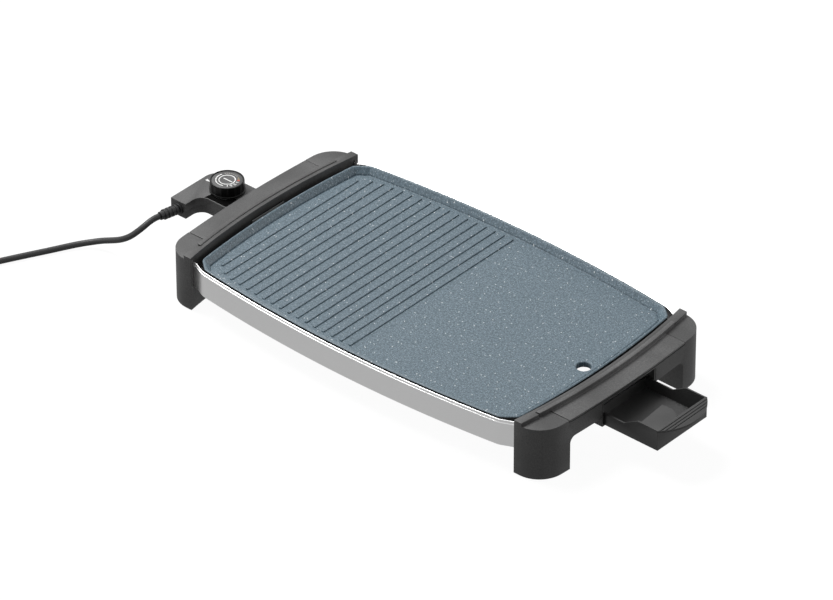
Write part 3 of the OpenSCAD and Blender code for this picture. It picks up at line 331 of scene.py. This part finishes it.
def bowed_outline(half_x, half_y, corner, spacing, ease):
    """Evenly spaced points round a bowed rectangle with cut corners, eased over a few points."""
    reach, angle = corner
    corner_way = [(cos(radians(turn)), sin(radians(turn))) for turn in
                  (angle, 180 - angle, 180 + angle, -angle)]
    discs = [((0, half_y - side_bow), side_bow), ((0, side_bow - half_y), side_bow),
             ((half_x - end_bow, 0), end_bow), ((end_bow - half_x, 0), end_bow)]
    ring, rays, glancing = [], 7200, 0.1
    for step in range(rays):
        turn = 2 * pi * step / rays
        way = (cos(turn), sin(turn))
        reaches = [reach / (way[0] * cx + way[1] * cy) for cx, cy in corner_way
                   if way[0] * cx + way[1] * cy > glancing]
        for (cx, cy), radius in discs:
            dot = way[0] * cx + way[1] * cy
            reaches.append(dot + sqrt(dot * dot + radius * radius - cx * cx - cy * cy))
        ring.append(Vector((way[0] * min(reaches), way[1] * min(reaches))))
    return even_ring(ring, spacing, ease)


def even_ring(ring, spacing, ease):
    """The ring's own line with evenly spaced points, eased so many times."""
    lengths = [0.0]
    for a, b in zip(ring, ring[1:] + ring[:1]):
        lengths.append(lengths[-1] + (b - a).length)
    count = int(lengths[-1] / spacing / 4) * 4
    even, index = [], 0
    for step in range(count):
        want = lengths[-1] * step / count
        while lengths[index + 1] < want:
            index += 1
        share = (want - lengths[index]) / max(lengths[index + 1] - lengths[index], 1e-9)
        even.append(ring[index].lerp(ring[(index + 1) % len(ring)], share))
    for _ in range(ease):
        even = [(even[i - 1] + even[i] * 2 + even[(i + 1) % count]) / 4 for i in range(count)]
    return even


def inset_ring(ring, inset):
    """The ring moved inwards."""
    count = len(ring)
    moved = []
    for i in range(count):
        along = (ring[(i + 1) % count] - ring[i - 1]).normalized()
        moved.append(ring[i] + Vector((-along.y, along.x)) * inset)
    return moved


plate_ring = bowed_outline(half_length, half_width, plate_corner, spacing=2.0, ease=3)
plate_profile = [
    (9.6, under_z), (2.2, under_z), (1.2, under_z + 0.4), (0.6, under_z + 1.4), (0.4, 61.5),
    (0.2, 63.0), (0.3, 63.8), (0.9, 64.4), (1.7, rim_z), (2.5, 64.55), (3.2, 64.1),
    (4.4, 62.5), (6.4, 60.0), (7.8, 58.2), (8.2, 57.6), (8.4, 56.5), (8.9, 56.15),
    (9.5, 56.3), (10.5, 57.15), (11.0, floor_z), (11.4, floor_z)]
drain_x, drain_radius, drain_sides = 216.5, 8.5, 64
drain_profile = [
    (10.3, floor_z), (9.6, floor_z), (9.1, 57.2), (8.7, 56.8), (drain_radius, 56.1),
    (drain_radius, 50.9), (8.8, 50.5), (11, 50.5), (11.4, 51), (11.4, under_z)]
# The outer wall rings and the underside take the second material, a near-black that paints the
# shade in the gap beside the side band.
dark_wall_rings, painted_shade_finish = 7, 1


def skin(work, rings):
    """Faces between each ring of vertices and the next."""
    made = []
    for ring, after in zip(rings, rings[1:]):
        for i in range(len(ring)):
            j = (i + 1) % len(ring)
            made.append(work.faces.new((ring[i], ring[j], after[j], after[i])))
    return made


def ring_edges(ring):
    """The edges of a closed ring of vertices."""
    return [next(edge for edge in ring[i - 1].link_edges
                 if edge.other_vert(ring[i - 1]) == ring[i]) for i in range(len(ring))]


work = bmesh.new()
outer = [[work.verts.new(metres(point.x, point.y, height))
          for point in inset_ring(plate_ring, inset)] for inset, height in plate_profile]
drain = [[work.verts.new(metres(drain_x + radius * cos(2 * pi * k / drain_sides),
                                radius * sin(2 * pi * k / drain_sides), height))
          for k in range(drain_sides)] for radius, height in drain_profile]
dark_wall_faces = skin(work, outer[:dark_wall_rings])
skin(work, outer[dark_wall_rings - 1:])
skin(work, drain)
bmesh.ops.triangle_fill(
    work, edges=ring_edges(outer[-1]) + ring_edges(drain[0]), use_beauty=True)
below = bmesh.ops.triangle_fill(
    work, edges=ring_edges(outer[0]) + ring_edges(drain[-1]), use_beauty=True)
for face in dark_wall_faces + [item for item in below["geom"] if isinstance(item, bmesh.types.BMFace)]:
    face.material_index = painted_shade_finish
bmesh.ops.recalc_face_normals(work, faces=work.faces)
plate_mesh = bpy.data.meshes.new("griddle_casting")
work.to_mesh(plate_mesh)
work.free()
plate = add_object("griddle_casting", plate_mesh)
bake(plate)

# Ribs: seventeen bars with rounded tops, cast in one with the plate and coated with it. They grow
# longer towards the middle of the plate and end short of its cut corners.
rib_sizes = {
    "Rib count": 17, "Pitch": 13.17, "First rib": 2.6, "Floor height": floor_z - 0.2,
    "Rib height": 1.5, "Foot width": 3.5, "Top width": 2.8, "Reach": 137.7,
    "Shortening": 0.000285}
corner_from, corner_slope, rib_edge, mm = 196.0, 0.62, 0.5, 0.001


def weld(piece, *others):
    """Joins other meshes to a piece without cutting them. Each keeps its own material."""
    work = bmesh.new()
    work.from_mesh(piece.data)
    for other in others:
        known = len(work.faces)
        work.from_mesh(other.data)
        work.faces.ensure_lookup_table()
        if other.data.materials and piece.data.materials:
            piece.data.materials.append(other.data.materials[0])
            for face in work.faces[known:]:
                face.material_index = len(piece.data.materials) - 1
        bpy.data.objects.remove(other)
    work.to_mesh(piece.data)
    work.free()


def node_tree(name, sizes):
    """A geometry tree with one number input for each size, and the group's in and out nodes."""
    tree = bpy.data.node_groups.new(name, "GeometryNodeTree")
    tree.interface.new_socket("Geometry", in_out="INPUT", socket_type="NodeSocketGeometry")
    tree.interface.new_socket("Geometry", in_out="OUTPUT", socket_type="NodeSocketGeometry")
    for size, value in sizes.items():
        kind = "NodeSocketInt" if isinstance(value, int) else "NodeSocketFloat"
        tree.interface.new_socket(size, in_out="INPUT", socket_type=kind)
    return tree, tree.nodes.new("NodeGroupInput"), tree.nodes.new("NodeGroupOutput")


def grow(tree, kind, links=None, **settings):
    """Adds a geometry node, as add_node does for a shader."""
    made = tree.nodes.new(kind)
    for key, value in settings.items():
        setattr(made, key, value)
    for key, source in (links or {}).items():
        if hasattr(source, "links"):
            tree.links.new(source, made.inputs[key])
        else:
            made.inputs[key].default_value = source
    return made


def run_tree(name, tree, sizes):
    """Makes the tree's result a plain mesh object."""
    piece = add_object(name, bpy.data.meshes.new(name))
    modifier = piece.modifiers.new("tree", "NODES")
    modifier.node_group = tree
    for item in tree.interface.items_tree:
        if item.in_out == "INPUT" and item.name in sizes:
            modifier[item.identifier] = sizes[item.name]
    bake(piece)
    return piece


def compute(tree, operation, a, b, c=None):
    """The result of one sum in the tree."""
    links = {0: a, 1: b}
    if c is not None:
        links[2] = c
    return grow(tree, "ShaderNodeMath", links, operation=operation).outputs[0]


def flat_point(tree, x, y):
    return grow(tree, "ShaderNodeCombineXYZ", {"X": x, "Y": y, "Z": 0.0}).outputs[0]


coat = bpy.data.materials.new("stone_coat")
tree, given, result = node_tree("rib_rows", rib_sizes)
size = given.outputs
index = grow(tree, "GeometryNodeInputIndex").outputs[0]
rib_x = compute(tree, "MULTIPLY_ADD", index, size["Pitch"], size["First rib"])
bow = compute(tree, "MULTIPLY", compute(tree, "MULTIPLY", rib_x, rib_x), size["Shortening"])
past_corner = compute(tree, "MAXIMUM", compute(tree, "SUBTRACT", rib_x, corner_from), 0.0)
corner_cut = compute(tree, "MULTIPLY", past_corner, corner_slope)
reach = compute(tree, "SUBTRACT", compute(tree, "SUBTRACT", size["Reach"], bow), corner_cut)
place_x = compute(tree, "MULTIPLY_ADD", rib_x, -mm, plate_x * mm)
height = compute(tree, "MULTIPLY", size["Floor height"], mm)
spots = grow(tree, "GeometryNodeMeshLine", {"Count": size["Rib count"]})
at = grow(tree, "ShaderNodeCombineXYZ", {"X": place_x, "Z": height})
spread = grow(tree, "GeometryNodeSetPosition", {
    "Geometry": spots.outputs[0], "Position": at.outputs[0]})
bar = grow(tree, "GeometryNodeCurvePrimitiveLine", {"Start": (0, -mm, 0), "End": (0, mm, 0)})
stretch = grow(tree, "ShaderNodeCombineXYZ", {"X": 1.0, "Y": reach, "Z": 1.0})
bars = grow(tree, "GeometryNodeInstanceOnPoints", {
    "Points": spread.outputs[0], "Instance": bar.outputs[0], "Scale": stretch.outputs[0]})
lines = grow(tree, "GeometryNodeRealizeInstances", {"Geometry": bars.outputs[0]})
half_foot = compute(tree, "MULTIPLY", size["Foot width"], mm / 2)
half_top = compute(tree, "MULTIPLY", size["Top width"], mm / 2)
other_foot, other_top = (compute(tree, "MULTIPLY", half, -1.0) for half in (half_foot, half_top))
tall = compute(tree, "MULTIPLY", size["Rib height"], -mm)
# Inputs 7 to 10 are the corners of the rib's section.
section = grow(tree, "GeometryNodeCurvePrimitiveQuadrilateral", {
    7: flat_point(tree, other_foot, 0.0), 8: flat_point(tree, half_foot, 0.0),
    9: flat_point(tree, half_top, tall), 10: flat_point(tree, other_top, tall)}, mode="POINTS")
rounded = grow(tree, "GeometryNodeFilletCurve", {
    "Curve": section.outputs[0], "Radius": rib_edge * mm}, mode="POLY")
rounded.inputs["Count"].default_value = 3
swept = grow(tree, "GeometryNodeCurveToMesh", {
    "Curve": lines.outputs[0], "Profile Curve": rounded.outputs[0], "Fill Caps": True})
finish = grow(tree, "GeometryNodeSetMaterial", {"Geometry": swept.outputs[0], "Material": coat})
tree.links.new(finish.outputs[0], result.inputs[0])
ribs = run_tree("plate_ribs", tree, rib_sizes)
weld(plate, ribs)

# Non-stick coat: grey-blue, satin, sprayed over a blasted casting. The grey is mottled and carries
# white flecks lying every way: a few bright streaks of two or three millimetres, more faint ones.
coat.use_nodes = True
shader = coat.node_tree.nodes["Principled BSDF"]
shader.inputs["Roughness"].default_value = 0.48
place = add_node(coat, "ShaderNodeTexCoord").outputs["Object"]
whole_turn, ragged_scale = 6.28, 1400.0


def flecks(material, place, cell_mm, width_mm, stretch, share):
    """A mask of ragged streaks, one in each chosen cell, turned at random."""
    cells = add_node(material, "ShaderNodeTexVoronoi", {"Vector": place},
                     voronoi_dimensions="2D", Scale=1000 / cell_mm)
    pick = add_node(material, "ShaderNodeSeparateColor", {"Color": cells.outputs["Color"]})
    local = add_node(material, "ShaderNodeVectorMath", {
        0: place, 1: cells.outputs["Position"]}, operation="SUBTRACT")
    angle = add_node(material, "ShaderNodeMath", {0: pick.outputs["Red"]}, operation="MULTIPLY")
    angle.inputs[1].default_value = whole_turn
    turned = add_node(material, "ShaderNodeVectorRotate", {
        "Vector": local.outputs[0], "Angle": angle.outputs[0]}, rotation_type="Z_AXIS")
    stretched = add_node(material, "ShaderNodeVectorMath", {0: turned.outputs[0]},
                         operation="MULTIPLY")
    stretched.inputs[1].default_value = (2000 / width_mm, 2000 / (width_mm * stretch), 0)
    far = add_node(material, "ShaderNodeVectorMath", {0: stretched.outputs[0]}, operation="LENGTH")
    ragged = add_node(material, "ShaderNodeTexNoise", {"Vector": place}, Scale=ragged_scale)
    edge = add_node(material, "ShaderNodeMapRange", {"Value": ragged.outputs["Fac"]},
                    To_Min=0.3, To_Max=1.5)
    inside = add_node(material, "ShaderNodeMath", {
        0: far.outputs["Value"], 1: edge.outputs["Result"]}, operation="LESS_THAN")
    chosen = add_node(material, "ShaderNodeMath", {0: pick.outputs["Green"]}, operation="LESS_THAN")
    chosen.inputs[1].default_value = share
    return add_node(material, "ShaderNodeMath", {
        0: inside.outputs[0], 1: chosen.outputs[0]}, operation="MULTIPLY").outputs[0]


def tinted(material, base, mask, colour):
    """The base colour with another one where the mask is one. Inputs 6 and 7 are the colours."""
    mixed = add_node(material, "ShaderNodeMix", {"Factor": mask}, data_type="RGBA")
    link(material, base, mixed.inputs[6])
    mixed.inputs[7].default_value = linear(colour)
    return mixed.outputs[2]


fine = add_node(coat, "ShaderNodeTexNoise", {"Vector": place}, Scale=1100.0, Detail=2.0)
broad = add_node(coat, "ShaderNodeTexNoise", {"Vector": place}, Scale=420.0, Detail=2.0)
mottle = add_node(coat, "ShaderNodeMath", {0: fine.outputs["Fac"], 1: broad.outputs["Fac"]},
                  operation="MULTIPLY")
coat_colour = two_tones(coat, mottle.outputs[0], "#485963", "#72848f", 0.14, 0.38)
for cell_mm, width_mm, stretch, share, colour in (
        (2.6, 0.9, 1.3, 0.6, "#8d9ca5"), (4.4, 0.8, 1.5, 0.36, "#a6b2b8"),
        (11, 1.0, 2.0, 0.4, "#e2e7e9")):
    mask = flecks(coat, place, cell_mm, width_mm, stretch, share)
    coat_colour = tinted(coat, coat_colour, mask, colour)
bump = add_node(coat, "ShaderNodeBump", {"Height": fine.outputs["Fac"]},
                Strength=0.3, Distance=0.00006)
link(coat, coat_colour, shader.inputs["Base Color"])
link(coat, bump.outputs["Normal"], shader.inputs["Normal"])
plate.data.materials.append(coat)
# Outer wall and underside of the casting: a matt near-black that paints the shade in the gap
# between the rim and the side band, seen only as a dark line there.
plate.data.materials.append(grained("casting_painted_shade", "#101213", "#191b1d", 0.6, 0.8, 0.03))
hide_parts("griddle_plate")
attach(plate, "griddle")

# End handles: heat-resistant phenolic mouldings that carry the plate between them and stand on the
# table. A cover of the same plastic is screwed on each from below. Its front side stands back a
# little, which leaves a seam.
handle_edge, cover_edge, cover_trim = 1.0, 0.6, 0.991


def soften(piece, width_mm):
    """Rounds a piece's edges by the given width and leaves a plain mesh."""
    bevel = piece.modifiers.new("edges", "BEVEL")
    bevel.width, bevel.segments, bevel.limit_method = width_mm / 1000, 3, "ANGLE"
    bevel.angle_limit, bevel.miter_outer, bevel.harden_normals = radians(30), "MITER_ARC", False
    bevel.use_clamp_overlap = True
    bake(piece)


def rounded_node(node_name, name, width_mm, material, body, trim=1.0):
    """A solid of the part with its edges rounded, as a piece that replaces it. The trim is the
    share of its reach from the middle that the front side keeps."""
    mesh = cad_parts[node_name].data.copy()
    work = bmesh.new()
    work.from_mesh(mesh)
    bmesh.ops.remove_doubles(work, verts=work.verts, dist=1e-5)
    bmesh.ops.dissolve_limit(work, angle_limit=radians(0.6), verts=work.verts, edges=work.edges)
    for vertex in work.verts:
        vertex.co.y *= trim if vertex.co.y < 0 else 1
    work.to_mesh(mesh)
    work.free()
    piece = add_object(name, mesh)
    soften(piece, width_mm)
    piece.data.materials.clear()
    piece.data.materials.append(material)
    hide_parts(node_name)
    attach(piece, body)


# Handle moulding: dark grey with a spark-eroded grain, so it looks dull and even. The drawer-end
# cover takes a paler copy of the moulding with more sheen, a painted highlight for the extra light
# that cover catches.
handle_plastic = grained(
    "handle_moulding", "#272727", "#525252", 0.52, 1.4, 0.16, Specular_IOR_Level=0.62)
cover_painted_light = grained(
    "cover_moulding_painted_light", "#2d2d2d", "#606060", 0.52, 1.6, 0.22, Specular_IOR_Level=0.7)
for end, cover_finish in (("drawer", cover_painted_light), ("socket", handle_plastic)):
    rounded_node(f"handle_{end}_end", f"handle_moulding_{end}", handle_edge, handle_plastic,
                 "griddle")
    rounded_node(f"handle_cover_{end}_end", f"handle_cover_{end}", cover_edge, cover_finish,
                 "griddle", trim=cover_trim)

# Side bands: stainless strips half a millimetre thick, held between the end handles, with two beads
# rolled along the top edge. They are brushed along their length, and the beads are bright. The rear
# one is a little lower, so the far rim of the plate is seen above it.
band_half, band_step, band_reach, band_end = 242, 2, 156.3, 135.5
band_low, band_high, rear_drop = 29.8, 63.7, 1.6
cut_reach, cut_x, cut_y = 219.6, 0.41469, 0.90996
band_thick, plain_height, bead_steps = 0.5, 12, 8
# Each bead's start below the top edge, its height, and how far it stands proud.
beads = ((5.2, 1.6, 1.0), (1.4, 1.4, 0.7))


def band_section(top):
    """Section of a band: half-round beads, the lower one prouder, and a rolled top edge."""
    points = [(0, band_low), (0, band_low + plain_height)]
    for below, rise, proud in beads:
        for k in range(bead_steps + 1):
            turn = pi * k / bead_steps
            points.append((proud * sin(turn), top - below + rise * (1 - cos(turn)) / 2))
    return points + [(-0.3, top - 0.15), (-band_thick, top - 0.5), (-band_thick, band_low)]


def swept_strip(name, path, section, side):
    """A strip with one section along a path in plan, closed at both ends."""
    vertices = []
    for index, point in enumerate(path):
        along = heading(path, index)
        for out, height in section:
            spot = point + Vector((along.y, -along.x, 0)) * out
            vertices.append((spot.x, spot.y * side, height))
    wide = len(section)
    piece = mesh_object(name, vertices,
                        ring_faces(len(path), wide) + end_faces(len(vertices), wide))
    bake(piece)
    return piece


band_path = []
for x in range(-band_half, band_half + 1, band_step):
    bow_y = band_reach - x * x / (2 * side_bow)
    corner_y = (cut_reach - abs(x) * cut_x) / cut_y
    band_path.append(Vector((x, -max(band_end, min(bow_y, corner_y)), 0)))
for _ in range(2):
    band_path[1:-1] = [(a + b * 2 + c) / 4
                       for a, b, c in zip(band_path, band_path[1:], band_path[2:])]
band_metal = brushed("band_stainless", "#e2e2e2", 0.33, (0.02, 1, 1))
for side, way, top in (("front", 1, band_high), ("rear", -1, band_high - rear_drop)):
    band = swept_strip(f"side_band_{side}_strip", band_path, band_section(top), way)
    band.data.materials.append(band_metal)
    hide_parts(f"side_band_{side}")
    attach(band, "griddle")

# Drip tray: a drawer injection-moulded in heat-resistant plastic, with a grooved grip lip. It
# slides in the guide behind the slot of the drawer-end handle, under the drain hole.
tray_edge = 0.5
# Tray moulding: black, with a smoother and glossier skin than the handles.
tray_black = grained("tray_moulding", "#212121", "#353535", 0.42, 1.0, 0.04)
rounded_node("drip_tray", "drip_drawer", tray_edge, tray_black, "tray")

# Temperature control: two half shells in the handles' plastic, screwed together from below round
# the thermostat. It plugs into the socket-end handle, and its lid has a collar under the dial.
shell_edge = 0.7
for half, name in (("lower", "control_base"), ("upper", "control_lid")):
    rounded_node(f"control_{half}_shell", name, shell_edge, handle_plastic, "control")

# Dial: a black moulded knob with broad shallow flutes on a plain skirt. It is pressed on the
# thermostat's shaft and stands in the collar of the control's lid.
dial_x, dial_z = -309.0, 75.0
knob_levels = [
    (14, 61.4, 0), (20.5, 61.4, 0), (20.7, 61.6, 0), (20.7, 63.0, 0), (20.4, 63.3, 0),
    (19.9, 63.4, 0.7), (19.8, 72.6, 0.7), (19.75, 73.6, 0.35), (19.65, 74.4, 0.1),
    (19.4, 74.9, 0), (19.0, 75.1, 0), (18.5, 75.05, 0), (18.1, 74.7, 0), (17.95, 73.4, 0)]
flutes, flute_power, knob_sides = 16, 0.7, 240
vertices = []
for radius, height, depth in knob_levels:
    for k in range(knob_sides):
        turn = 2 * pi * k / knob_sides
        r = radius - depth * abs(sin(flutes * turn / 2)) ** flute_power
        vertices.append((dial_x + r * cos(turn), r * sin(turn), height))
knob = mesh_object("dial_knob", vertices, ring_faces(len(knob_levels), knob_sides)
                   + end_faces(len(vertices), knob_sides))
bake(knob)
# Dial gloss: deep black and smooth, with a narrow highlight on the rim.
knob.data.materials.append(
    grained("dial_gloss", "#0a0a0a", "#111111", 0.3, 0.4, 0.006, Specular_IOR_Level=0.25))
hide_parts("temperature_dial")
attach(knob, "dial")

# Dial face: a grey plastic disc set a little below the knob's rim, which turns with it. It is
# pad-printed with a ring, a pointer, a plain arc for off, and heat figures up to red.
face_profile = [(0, 73.5), (17.8, 73.5), (17.8, 74.2), (17.6, 74.3), (9.2, 74.3), (9.0, 74.25),
                (0, 74.25)]
face_plate = lathe("dial_face_plate", face_profile, 96, Matrix.Translation((dial_x, 0, 0)))
# Dial face: mid grey satin, which lets the white print stand out.
face_plate.data.materials.append(
    grained("dial_face_satin", "#4e4e4e", "#5a5a5a", 0.45, 0.5, 0.005))


def prism(points, low, high):
    """A flat solid between two heights from its outline in plan, as vertices and faces."""
    n = len(points)
    vertices = [(x, y, low) for x, y in points] + [(x, y, high) for x, y in points]
    faces = [tuple(reversed(range(n))), tuple(range(n, 2 * n))]
    return vertices, faces + [(k, (k + 1) % n, (k + 1) % n + n, k + n) for k in range(n)]


def print_piece(name, solids, material):
    """One mesh from many flat solids, in one ink."""
    vertices, faces = [], []
    for points, solid in solids:
        faces += [tuple(index + len(vertices) for index in face) for face in solid]
        vertices += points
    piece = mesh_object(name, vertices, faces, smooth=False)
    piece.data.materials.append(material)
    return piece


def ink(name, colour, pale):
    return grained(name, colour, pale, 0.45, 0.4, 0.004)


# Inks: flat, opaque colours with a slight sheen, in off-white, brick red, grey and ochre.
white_ink = ink("white_print", "#f6f6f4", "#ffffff")
red_ink = ink("red_print", "#c25a48", "#cc6652")
grey_ink = ink("grey_print", "#9c9a96", "#a8a6a2")
ochre_ink = ink("ochre_print", "#968a6c", "#a29678")
print_angle, print_low, print_high = 40.96, dial_z - 0.72, dial_z - 0.58
arc_step, figure_radius, tick_radius = 6, 12.9, 13.2


def on_dial(right_mm, deep_mm):
    """A point on the dial from its place to the right of the middle and away from the camera."""
    turn = radians(print_angle)
    return (dial_x + right_mm * cos(turn) - deep_mm * sin(turn),
            right_mm * sin(turn) + deep_mm * cos(turn))


def arc_band(inner, outer, start, end):
    """Prisms side by side along an arc, angles in degrees as seen from the camera's side."""
    count = max(1, round((end - start) / arc_step))
    angles = [radians(start + (end - start) * k / count) for k in range(count + 1)]
    return [prism([on_dial(r * cos(a), r * sin(a)) for r, a in
                   ((inner, a0), (outer, a0), (outer, a1), (inner, a1))], print_low, print_high)
            for a0, a1 in zip(angles, angles[1:])]


def bar_on_dial(angle, radius, across, up, wide, tall):
    """A bar beside the middle of a mark that stands on the dial at an angle and radius."""
    turn = radians(angle)
    out, side = Vector((cos(turn), sin(turn))), Vector((-sin(turn), cos(turn)))
    middle = out * (radius - up) + side * across
    return prism([on_dial(*(middle + side * sx * wide / 2 + out * sy * tall / 2))
                  for sx, sy in ((-1, -1), (-1, 1), (1, 1), (1, -1))], print_low, print_high)


# Seven-bar figures: top, upper left, upper right, middle, lower left, lower right, bottom.
figure_bars = {1: "0010010", 2: "1011101", 3: "1011011", 4: "0111010"}
bar_places = [(0, 1.4, 2.7, 0.85), (-0.9, 0.7, 0.9, 1.7), (0.9, 0.7, 0.9, 1.7), (0, 0, 2.7, 0.8),
              (-0.9, -0.7, 0.9, 1.7), (0.9, -0.7, 0.9, 1.7), (0, -1.4, 2.7, 0.85)]


def figure(number, angle):
    """The bars of a figure that stands on the dial at an angle."""
    return [bar_on_dial(angle, figure_radius, *place)
            for bar, place in zip(figure_bars[number], bar_places) if bar == "1"]


whites = arc_band(8.7, 9.9, 0, 360) + arc_band(12.3, 13.5, 118, 251)
for number, angle in ((1, 268), (2, 291), (3, 312), (4, 334)):
    whites += figure(number, angle)
pointer_tail, pointer_tip = Vector((-3.9, 3.4)), Vector((5.4, -4.8))
tip_side = Vector((0.66, 0.75)) * 0.6
tail_side = tip_side * 1.4
whites.append(prism([on_dial(*point) for point in (
    pointer_tail - tail_side, pointer_tip - tip_side, pointer_tip + tip_side,
    pointer_tail + tail_side)], print_low, print_high))
reds = arc_band(11.6, 14.3, 346, 357)
ochres = arc_band(11.9, 14.2, 360, 369) + arc_band(12.3, 14.0, 372, 379)
greys = [bar_on_dial(angle, tick_radius, 0, 0, 1.6, 1.5) for angle in (34, 45, 57, 68, 79, 90, 101)]
weld(face_plate, print_piece("white_marks", whites, white_ink),
     print_piece("red_marks", reds, red_ink), print_piece("grey_marks", greys, grey_ink),
     print_piece("ochre_marks", ochres, ochre_ink))
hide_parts("dial_face")
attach(face_plate, "dial")

# Mark on the control's lid: a white triangle that points at the dial. It is pad-printed in the
# white of the dial's figures.
lid_z, mark_low, mark_high = 60.0, -0.05, 0.1
mark_corners = [(-342.2, -1.0), (-341.6, 2.7), (-334.9, -0.3)]
lid_mark = print_piece("lid_triangle", [prism(
    mark_corners, lid_z + mark_low, lid_z + mark_high)], white_ink)
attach(lid_mark, "control")

# Rim of the lid: a narrow raised edge that follows the hollow corner beside the cord. It is
# moulded in one with the lid and has its grain.
hollow_x, hollow_y, hollow_radius = -312, -40.5, 13
rim_section = [(-0.9, 59.6), (0.35, 59.4), (0.5, 59.8), (0.35, 60.3), (0, 60.5), (-0.5, 60.45),
               (-0.9, 60.1)]


def hollow_arc(radius, first, last):
    """Points round the hollow corner's middle, between two angles in degrees."""
    return [(hollow_x + radius * cos(radians(turn)), hollow_y + radius * sin(radians(turn)))
            for turn in range(first, last - 1, -arc_step)]


lid_edge = [(-325, -51.5), (-325, -46)] + hollow_arc(hollow_radius, 180, 90) \
    + [(-300, -27.5), (-284, -27.5)]
lid_rim = swept_strip("lid_rim", [Vector((x, y, 0)) for x, y in lid_edge], rim_section, 1)
lid_rim.data.materials.append(handle_plastic)
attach(lid_rim, "control")

# Painted shadow in front of the dial: a thin matt black slab with no highlight, laid on the lid
# between the dial and the raised edge where the dial's shadow falls.
shadow_patch_radius, shadow_patch_low, shadow_patch_high = 13.9, -0.3, 0.12
painted_shadow_black = grained("painted_shadow_black", "#101010", "#161616", 0.8, 0.8, 0.02, Specular_IOR_Level=0.0)
shadow_patch_edge = hollow_arc(shadow_patch_radius, 120, 90) + [
    (-281.8, -26.6), (-281.8, -8), (-300, -6), (-316, -10)]
dial_shadow_patch = print_piece("dial_painted_shadow", [prism(shadow_patch_edge, lid_z + shadow_patch_low, lid_z + shadow_patch_high)], painted_shadow_black)
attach(dial_shadow_patch, "control")

# Strain relief: a ribbed rubber sleeve, moulded round the cord and clamped between the shells of
# the control. It has the dusty black of the sheath.
relief_edge = 0.45
rounded_node("strain_relief", "relief_sleeve", relief_edge, rubber, "control")

# Hidden metal and ceramic: the heat shield is black-lacquered sheet, and its black also paints the
# deep shade seen through the gaps round the plate. The brackets are galvanised, the probe and shaft
# are drawn steel, and the heater is an oxidised steel sheath.
dress("heat_shield", grained("shield_lacquer_and_shade", "#161616", "#1f1f1f", 0.6, 0.9, 0.02))
dress("terminal_bracket", brushed("galvanised_sheet", "#8e9192", 0.5, (1, 1, 1), 1.5))
dress("heating_element", brushed("element_sheath", "#55524d", 0.55, (1, 1, 1), 0.8))
drawn_steel = brushed("drawn_steel", "#c2c2c0", 0.3, (0.05, 1, 1))
for name in ("probe_sleeve", "heat_probe", "dial_shaft"):
    dress(name, drawn_steel)
zinc = brushed("zinc_screws", "#b4b9bd", 0.35, (1, 1, 1))
for name in ("plate_screws", "shield_screws", "cover_screws", "guide_screws", "control_screws"):
    dress(name, zinc)
dress("terminal_pins", nickel)
dress("contact_sleeves", brushed("contact_brass", "#b08d4a", 0.3, (1, 1, 1)))
dress("terminal_insulators", grained("insulator_ceramic", "#e2dfd6", "#efece4", 0.5, 0.6, 0.01))
dress("thermostat_switch", grained("switch_moulding", "#4a2c18", "#5a3820", 0.45, 0.5, 0.01))
dress("drawer_guide", handle_plastic)
dress("foot_pads", rubber)

# Table, backdrop and light: a white table and white surroundings for the camera and for
# reflections, dark for bounced light, so that upright faces stay dark as in the photograph.
table_half, table_z = 6, -0.0005
floor_mesh = bpy.data.meshes.new("floor")
floor_mesh.from_pydata([(x * table_half, y * table_half, table_z) for x, y in
                        ((-1, -1), (1, -1), (1, 1), (-1, 1))], [], [(0, 1, 2, 3)])
floor = add_object("floor", floor_mesh)
floor_paper, paper = new_material("floor_paper", "#fafafa", 0.9)
seen = add_node(floor_paper, "ShaderNodeLightPath")
white = add_node(floor_paper, "ShaderNodeEmission", Color=(1, 1, 1, 1), Strength=1.08)
lit = add_node(floor_paper, "ShaderNodeMixShader", {
    1: paper.outputs[0], 2: white.outputs[0]}, Fac=0.88)
grey = add_node(floor_paper, "ShaderNodeEmission", Color=(1, 1, 1, 1), Strength=0.55)
dark = add_node(floor_paper, "ShaderNodeBsdfDiffuse", Color=(0.08, 0.08, 0.08, 1))
bounced = add_node(floor_paper, "ShaderNodeMixShader", {
    0: seen.outputs["Is Glossy Ray"], 1: dark.outputs[0], 2: grey.outputs[0]})
blend = add_node(floor_paper, "ShaderNodeMixShader", {
    0: seen.outputs["Is Camera Ray"], 1: bounced.outputs[0], 2: lit.outputs[0]})
output = floor_paper.node_tree.nodes["Material Output"]
link(floor_paper, blend.outputs[0], output.inputs["Surface"])
floor_mesh.materials.append(floor_paper)

world = bpy.data.worlds.new("studio")
scene.world = world
world.use_nodes = True
sky = world.node_tree.nodes["Background"]
sky.inputs["Color"].default_value = (1, 1, 1, 1)
seen = add_node(world, "ShaderNodeLightPath")
clear = add_node(world, "ShaderNodeMath", {
    0: seen.outputs["Is Camera Ray"], 1: seen.outputs["Is Transmission Ray"]}, operation="MAXIMUM")
open_sky = add_node(world, "ShaderNodeMath", {
    0: clear.outputs[0], 1: seen.outputs["Is Glossy Ray"]}, operation="MAXIMUM")
level = add_node(world, "ShaderNodeMapRange", {"Value": open_sky.outputs[0]},
                 To_Min=0.13, To_Max=1.0)
link(world, level.outputs["Result"], sky.inputs["Strength"])


def lamp(name, place, aim, size, power):
    """A round soft lamp, its face turned to the aim."""
    light = bpy.data.lights.new(name, "AREA")
    light.shape, light.size, light.energy = "DISK", size, power
    made = add_object(name, light)
    made.location = place
    made.rotation_euler = (Vector(aim) - Vector(place)).to_track_quat("-Z", "Y").to_euler()


# A large soft lamp from the left draws the long highlights on the beads and the rims. Two weak
# cards near the table lift the upright faces in front and on the right.
lamp("left_softbox", (-2.6, 0.0, 3.7), (0.05, 0, 0), 2.8, 203)
lamp("front_card", (-1.8, -2.2, 0.7), (0, 0, 0), 1.6, 11)
lamp("right_card", (1.6, 2.9, 0.7), (0, 0, 0), 1.6, 30)
scene.view_settings.view_transform = "Standard"
